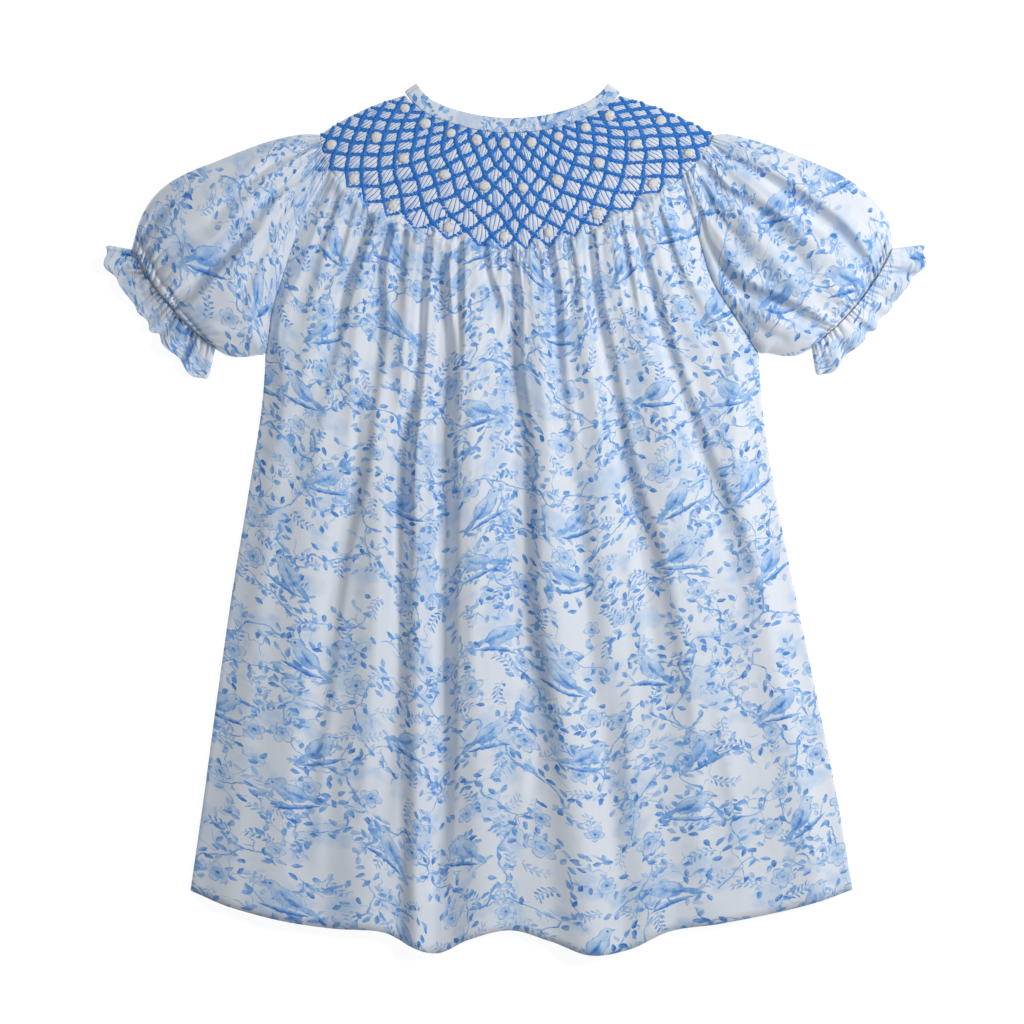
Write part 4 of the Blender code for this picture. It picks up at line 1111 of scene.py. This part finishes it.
knots = many_copies("cream_knots", knot_vertices, knot_faces, knot_places, knot_turns, knot_sizes)
bpy.data.objects.remove(knot_form)
knots.data.materials.append(floss("cream_floss", KNOT_CREAM, (0.52, 0.44, 0.37, 1.0)))
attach(knots, "root")

# The neck binding: a bias strip of the printed lawn folded over the raw edge of the smocking, all
# round the neck. Laid flat, the strip's front half lies over its back half.
BINDING_LOW = 0.85
BINDING_HIGH = 3.75
BINDING_HALF_THICK = 0.75
TIP_STEPS = 9


def binding_path():
    """Places, heights and shares round the neck, over the front and back along the rear."""
    middle = 0.5 * (BINDING_LOW + BINDING_HIGH)
    radius = 0.5 * (BINDING_HIGH - BINDING_LOW)
    front = np.linspace(0.0, 1.0, 90)
    turn = math.pi * np.arange(1, TIP_STEPS) / TIP_STEPS
    place, height, share = [neck_line(front, 0.0)], [np.full(90, BINDING_HIGH)], [front]
    for end, sign in ((1.0, 1.0), (0.0, -1.0)):
        tip = neck_line(end, 0.0)
        out = tip - neck_line(end - sign * 0.02, 0.0)
        out /= np.linalg.norm(out)
        place.append(tip + out * (radius * np.sin(turn))[:, None])
        height.append(middle + sign * radius * np.cos(turn))
        share.append(np.full(TIP_STEPS - 1, end))
        if end == 1.0:
            place.append(neck_line(front[::-1], 0.0))
            height.append(np.full(90, BINDING_LOW))
            share.append(front[::-1])
    return np.vstack(place), np.concatenate(height), np.concatenate(share)


def binding_points():
    """Rows of points over the folded strip's section, at each step of the path."""
    place, height, share = binding_path()
    ahead = neck_line(np.clip(share + 0.01, 0.0, 1.0), 0.0) - neck_line(np.clip(share - 0.01, 0.0, 1.0), 0.0)
    ahead /= np.linalg.norm(ahead, axis=1)[:, None]
    across = np.stack([-ahead[:, 1], ahead[:, 0], np.zeros(len(share))], axis=1)
    centre = np.column_stack([place, height])
    travel = np.roll(centre, -1, axis=0) - np.roll(centre, 1, axis=0)
    travel /= np.linalg.norm(travel, axis=1)[:, None]
    outward = np.cross(across, travel)
    outward /= np.linalg.norm(outward, axis=1)[:, None]
    bend = np.linspace(-0.5 * math.pi, 0.5 * math.pi, 9)
    flat_side = np.linspace(-1.0, 0.75, 12)
    wide = np.concatenate([flat_side, 0.8 + 0.2 * np.cos(bend[::-1]), np.linspace(0.75, -1.0, 12)])
    thick = np.concatenate([np.full(12, 1.0), np.sin(bend[::-1]), np.full(12, -1.0)])
    thick *= np.where(wide < -0.8, 0.75, 1.0)
    pucker = 1.0 + 0.06 * np.sin(np.arange(len(share)) * 1.9)[:, None] * (wide < 0.6)[None]
    points = centre[:, None] + across[:, None] * (wide * 0.5 * BINDING_WIDTH)[None, :, None]
    return points + outward[:, None] * (thick[None] * pucker * BINDING_HALF_THICK)[..., None], share


binding_rows, binding_share = binding_points()
binding_rows = np.concatenate([binding_rows, binding_rows[:1]])
binding_run = np.linalg.norm(np.diff(binding_rows[:, 6], axis=0), axis=1)
binding_run = np.concatenate([[0.0], np.cumsum(binding_run)])
binding_span = np.linalg.norm(np.diff(binding_rows[0], axis=0), axis=1)
binding_span = np.concatenate([[0.0], np.cumsum(binding_span)])
binding_flat = np.dstack(np.meshgrid(binding_span, binding_run)) * MM
binding = cloth_mesh("neck_binding_cloth", binding_rows, binding_flat, 0.35, face_up=False)
lay_cloth(
    binding, printed_cotton("printed_binding", (90.0, 150.0), turn=0.78),
    ["neck_binding"])

# The puff sleeves: one wide piece of the printed lawn each, pleated into the yoke at its head and
# drawn in by elastic in a stitched casing above the frill, so that it stands out as a soft puff.
LEFT_SLEEVE_TOP = [
    (-129.3, 232.2),
    (-148.5, 228.0),
    (-165.3, 222.0),
    (-181.5, 215.4),
    (-195.3, 210.0),
    (-208.5, 202.8),
    (-218.7, 193.2),
    (-225.9, 180.0),
    (-230.7, 163.2),
]
LEFT_PUFF_LINE = [
    (-155.7, 99.6),
    (-165.3, 98.4),
    (-173.7, 99.6),
    (-180.3, 103.8),
]
RIGHT_SLEEVE_TOP = [
    (128.7, 232.2),
    (146.7, 227.8),
    (163.5, 222.0),
    (179.1, 215.4),
    (192.9, 209.4),
    (205.5, 201.4),
    (216.3, 191.4),
    (224.1, 179.4),
    (226.5, 163.8),
]
RIGHT_PUFF_LINE = [
    (152.1, 100.8),
    (162.9, 99.0),
    (171.3, 100.2),
    (177.9, 104.4),
]
CUFF_BOW = 5.0
PUFF_RISE = 16.0
PUFF_PROFILE = [
    # share of the way down, share of the rise
    (0.0, 0.06),
    (0.12, 0.30),
    (0.30, 0.66),
    (0.55, 0.95),
    (0.72, 1.0),
    (0.88, 0.78),
    (1.0, 0.10),
]
SLEEVE_FOLDS = [
    # share at the head, share at the cuff, half width, rise
    (0.16, 0.22, 0.10, 2.4),
    (0.36, 0.42, 0.12, 3.6),
    (0.62, 0.60, 0.12, 3.8),
    (0.84, 0.80, 0.10, 2.6),
]
CUFF_LOFT = 3.2
SLEEVE_LIFT = 0.8
HEAD_PLEATS = 13
HEAD_PLEAT_RISE = 1.9
HEAD_PLEAT_REACH = 0.16
CUFF_PUCKERS = 23
CUFF_PUCKER_RISE = 4.4
CUFF_PUCKER_REACH = 0.13
CASING_TOP = 0.945
CASING_LOW = 0.995
CASING_DEPTH = 2.2
TUCK_FROM = 0.982
SLEEVE_CREASES = {
    "left": [
        (-150.0, 196.0, 200.0, 24.0, 3.0, 0.8),
        (-178.0, 196.0, 215.0, 22.0, 4.0, 0.7),
        (-172.0, 118.0, 170.0, 16.0, 3.0, 0.7),
    ],
    "right": [
        (150.0, 205.0, -20.0, 24.0, 3.0, 0.8),
        (196.0, 196.0, -40.0, 22.0, 4.0, 0.7),
        (165.0, 118.0, 10.0, 16.0, 3.0, 0.7),
    ],
}
SLEEVE_VALLEYS = {
    "left": [
        ([(-150.0, 178.0), (-168.0, 164.4), (-182.0, 151.0), (-190.0, 141.0), (-203.0, 128.0)],
         (1.2, 5.2, 7.6, 6.6, 3.0), (5.0, 5.6, 6.2, 6.4, 6.0)),
        ([(-139.0, 140.0), (-146.0, 124.0), (-160.0, 112.0)], (1.6, 3.2, 1.6), (4.0, 5.0, 5.0)),
        ([(-204.0, 192.0), (-214.0, 180.0), (-222.0, 168.0)], (0.6, 3.4, 3.0), (4.0, 5.0, 5.0)),
        ([(-125.0, 222.0), (-146.0, 212.0), (-172.0, 206.0)], (2.4, 2.0, 0.4), (3.0, 5.0, 7.0)),
        ([(-120.0, 212.0), (-134.0, 200.0), (-150.0, 190.0), (-166.0, 184.0)],
         (3.0, 3.0, 2.4, 0.6), (3.0, 4.0, 5.0, 7.0)),
        ([(-114.0, 202.0), (-124.0, 186.0), (-134.0, 168.0), (-140.0, 150.0)],
         (3.4, 3.6, 3.0, 1.0), (3.0, 4.0, 5.0, 6.0)),
    ],
    "right": [
        ([(124.0, 222.0), (154.0, 203.0), (175.0, 188.0), (195.0, 172.0), (207.0, 157.0), (213.0, 148.0)],
         (3.6, 4.6, 7.2, 9.4, 8.2, 4.0), (3.0, 4.6, 6.2, 7.0, 6.4, 5.0)),
        ([(112.0, 186.0), (116.0, 165.0), (133.0, 143.0), (154.0, 132.6), (173.7, 122.4), (190.0, 114.0)],
         (4.0, 5.6, 7.2, 9.0, 8.4, 4.0), (3.0, 4.6, 5.4, 5.6, 5.6, 5.0)),
        ([(118.0, 210.0), (130.0, 196.0), (150.0, 184.0), (170.0, 164.0)],
         (4.8, 5.6, 4.4, 1.4), (3.0, 4.6, 5.6, 7.0)),
        ([(116.0, 200.0), (122.0, 184.0), (136.0, 166.0)], (3.0, 2.8, 0.8), (2.6, 3.6, 5.0)),
        ([(152.0, 176.0), (172.0, 152.0), (190.0, 132.0)], (0.6, 2.2, 2.4), (6.0, 7.0, 6.0)),
        ([(137.0, 132.0), (146.0, 116.0), (160.0, 109.0)], (1.6, 2.6, 1.4), (4.0, 5.0, 5.0)),
    ],
}


def sleeve_lines(side):
    """The outer line and the lower line of one sleeve."""
    shoulder = 0.0 if side == "left" else 1.0
    top_line = LEFT_SLEEVE_TOP if side == "left" else RIGHT_SLEEVE_TOP
    puff_line = LEFT_PUFF_LINE if side == "left" else RIGHT_PUFF_LINE
    return [tuple(yoke_edge(shoulder))] + top_line, body_side(side, RAGLAN_ROWS) + puff_line


def bowed(start, end, bow, share):
    """Points on a shallow arch from start to end that stands out by the bow."""
    start, end = np.array(start), np.array(end)
    chord = (end - start) / np.linalg.norm(end - start)
    outward = np.array([-chord[1], chord[0]])
    share = np.asarray(share, dtype=float)[..., None]
    return mix(start, end, share) + outward * (4.0 * bow * share * (1.0 - share))


def cuff_line(side, share):
    """The line of the elastic."""
    top_line, low_line = sleeve_lines(side)
    return bowed(top_line[-1], low_line[-1], -CUFF_BOW if side == "left" else CUFF_BOW, share)


def sleeve_plan(side, s, rows):
    """Plan points of one sleeve and the share down each row."""
    top_line, low_line = sleeve_lines(side)
    ends = (0.0, BODY_FROM) if side == "left" else (1.0, BODY_TO)
    return stretched(
        lambda share: yoke_edge(mix(ends[0], ends[1], share)), lambda share: cuff_line(side, share),
        top_line, low_line, s, rows)


def sleeve_height(s, v, seed):
    """Height of a sleeve: its puff, its long folds, pleats at the head and puckers at the cuff."""
    dome = np.maximum(4.0 * s * (1.0 - s), 0.0) ** 0.5
    profile = np.array(PUFF_PROFILE)
    fine = np.linspace(0.0, 1.0, 81)
    eased = np.interp(fine, profile[:, 0], profile[:, 1])
    eased = np.convolve(np.pad(eased, 4, mode="edge"), np.ones(9) / 9.0, mode="valid")
    height = PUFF_RISE * np.interp(v, fine, eased) * dome
    for head, cuff, half_width, rise in SLEEVE_FOLDS:
        away = np.clip((s - mix(head, cuff, v)) / half_width, -1.0, 1.0)
        height += rise * np.sin(math.pi * v) * np.cos(0.5 * math.pi * away) ** 2
    edge = smooth(np.minimum(s, 1.0 - s) / 0.08)
    height += edge * SLEEVE_LIFT
    height += pleats_height(s, v, HEAD_PLEATS, HEAD_PLEAT_RISE, seed, HEAD_PLEAT_REACH) * edge
    height += pleats_height(s, 1.0 - v, CUFF_PUCKERS, CUFF_PUCKER_RISE, seed + 1, CUFF_PUCKER_REACH) * edge
    casing = np.exp(-((v - CASING_TOP) / 0.014) ** 2) + 0.8 * np.exp(-((v - CASING_LOW) / 0.012) ** 2)
    height -= CASING_DEPTH * casing * edge
    height += CUFF_LOFT * dome * smooth((v - 0.5) * 2.0)
    return mix(height, CUFF_LOFT * dome - 0.4, smooth((v - TUCK_FROM) / (0.998 - TUCK_FROM)))


sleeve_shares = shares(150, (0.0, 0.003, 0.008, 0.015, 0.024))
sleeve_rows = [np.linspace(0.02, 2.0, 30), np.linspace(2.0, 8.0, 70)[1:], np.linspace(8.0, 8.99, 30)[1:]]
sleeve_rows = np.concatenate(sleeve_rows)
for side, seed, shift, turn in (("left", 41, (560.0, 130.0), -0.7), ("right", 47, (-300.0, -400.0), 0.7)):
    plan, down = sleeve_plan(side, sleeve_shares, sleeve_rows)
    height = sleeve_height(sleeve_shares[None, :], down, seed)
    span = np.linalg.norm(plan[:, -1] - plan[:, 0], axis=1)[:, None]
    seamed = 1.0 - smooth((sleeve_rows - 4.4) / 1.0)[:, None]
    height = FRONT_TOP + height + 0.6 * seamed * smooth((sleeve_shares - 0.9) / 0.1)[None, :]
    loose = 1.0 - seamed * (1.0 - smooth((sleeve_rows - 1.5) / 2.5)[:, None])
    armpit_roll = 4.0 + 4.0 * smooth((sleeve_rows - 1.5) / 2.5)[:, None] * seamed
    height -= rolled_edge(sleeve_shares[None, :], span, armpit_roll, FRONT_TOP - 1.2, 1.0, loose)
    points = creased(np.dstack([plan, height]), SLEEVE_CREASES[side])
    inner = smooth(np.minimum(sleeve_shares, 1.0 - sleeve_shares) / 0.12)[None, :]
    points[..., 2] += valleys_height(points, SLEEVE_VALLEYS[side]) * inner
    points[..., 2] = np.maximum(points[..., 2], 1.5)
    grain = points[-1, len(sleeve_shares) // 2, :2] - points[0, len(sleeve_shares) // 2, :2]
    front = cloth_mesh(
        "sleeve_" + side + "_cloth", points, flat_place(points, -grain), face_up=side == "left")
    back_shares_across = shares(60)
    back_plan_sleeve, back_down_sleeve = sleeve_plan(side, back_shares_across, np.linspace(0.02, 8.99, 60))
    ripple = 0.2 * np.sin(19.0 * back_shares_across)[None, :] * back_down_sleeve
    back_points_sleeve = np.dstack([back_plan_sleeve, 0.75 + ripple])
    back = cloth_mesh(
        "sleeve_" + side + "_back_cloth", back_points_sleeve, flat_place(back_points_sleeve, -grain),
        face_up=side == "left")
    material = printed_cotton("printed_sleeve_" + side, shift, turn)
    lay_cloth(
        back, material, ["sleeve_" + side + "_back"])
    lay_cloth(
        front, material, ["sleeve_" + side + "_front"])

# The sleeve frills: the sleeve's own cloth below the elastic, a fingertip deep, which stands out in
# flutes round the arm. Laid flat, the front flutes lie over the plainer back half.
LEFT_FRILL_CORNERS = ((-246.6, 166.2), (-184.6, 84.4))
RIGHT_FRILL_CORNERS = ((246.6, 166.2), (180.6, 87.0))
FRILL_BOW = 8.5
FRILL_FLUTES = 7
FLUTE_RISE = 5.2
FLUTE_REACH = 1.5
FRILL_CUT_WIDE = 23.0
FRILL_PUCKER_RISE = 3.0
CORNER_CUT = 5.0
CORNER_SHARE = 0.055
CORNER_SWELLS = [
    # share along the frill, share of its length, reach
    (0.14, 0.10, 3.6),
    (0.90, 0.08, 3.4),
]


def uneven(s):
    """Shares along a frill, crowded in places so that its flutes differ."""
    return s + 0.022 * np.sin(2.0 * math.pi * 2.0 * s) + 0.012 * np.sin(2.0 * math.pi * 5.0 * s)


def frill_plan(side, s, v):
    """Plan points of a frill between the elastic and its outer edge."""
    corners = LEFT_FRILL_CORNERS if side == "left" else RIGHT_FRILL_CORNERS
    start = cuff_line(side, s)
    end = bowed(corners[0], corners[1], -FRILL_BOW if side == "left" else FRILL_BOW, s)
    outward = end - start
    outward /= np.linalg.norm(outward, axis=-1)[..., None]
    wave = FLUTE_REACH * np.cos(2.0 * math.pi * FRILL_FLUTES * uneven(s)) * (0.6 + 0.4 * np.sin(13.0 * s))
    for middle, spread, reach in CORNER_SWELLS:
        wave = wave + reach * np.exp(-((s - middle) / spread) ** 2)
    corner = np.clip(1.0 - np.minimum(s, 1.0 - s) / CORNER_SHARE, 0.0, 1.0)
    wave = wave - CORNER_CUT * (1.0 - np.sqrt(1.0 - corner ** 2))
    v = np.asarray(v)[..., None]
    return mix(start, end, v) + outward * wave[..., None] * v


def frill_height(s, v):
    """Height of the frill's flutes, which open towards its outer edge."""
    dome = np.maximum(4.0 * s * (1.0 - s), 0.0) ** 0.5
    flute = 0.5 + 0.5 * np.cos(2.0 * math.pi * FRILL_FLUTES * uneven(s))
    sizes = 0.65 + 0.35 * np.sin(11.0 * s)
    edge = smooth(np.minimum(s, 1.0 - s) / 0.03)
    pucker = np.abs(np.sin(math.pi * CUFF_PUCKERS * uneven(s))) ** 0.8 * (1.0 - smooth(v / 0.6))
    waves = FLUTE_RISE * flute * sizes * (0.2 + 0.8 * v) + FRILL_PUCKER_RISE * pucker
    return mix(CUFF_LOFT * dome, 1.2 * dome, v) + waves * edge


for side, shift, turn in (("left", (560.0, 330.0), -0.7), ("right", (-420.0, -60.0), 0.7)):
    s, v = np.meshgrid(shares(170, (0.0, 0.003, 0.008, 0.015)), np.linspace(0.0, 1.0, 34))
    height = FRONT_TOP + frill_height(s, v) - rolled_edge(s, 80.0, 2.4, FRONT_TOP - 1.2)
    points = np.dstack([frill_plan(side, s, v), height])
    grain = points[-1, 80, :2] - points[0, 80, :2]
    laid_out = flat_place(points * (1.0, 1.0, 0.0), -grain)
    laid_out[..., 1] = (1.0 - v) * FRILL_CUT_WIDE * MM
    front = cloth_mesh("frill_" + side + "_cloth", points, laid_out, face_up=side == "left")
    s, v = np.meshgrid(np.linspace(0.0, 1.0, 120), np.linspace(0.0, 1.0, 12))
    ripple = 0.25 * np.sin(2.0 * math.pi * FRILL_FLUTES * s) * v
    points = np.dstack([frill_plan(side, s, v), 0.75 + ripple])
    back = cloth_mesh(
        "frill_" + side + "_back_cloth", points, flat_place(points, -grain), face_up=side == "left")
    material = printed_cotton("printed_frill_" + side, shift, turn)
    lay_cloth(
        back, material, ["frill_" + side + "_back"])
    lay_cloth(
        front, material, ["frill_" + side + "_front"])
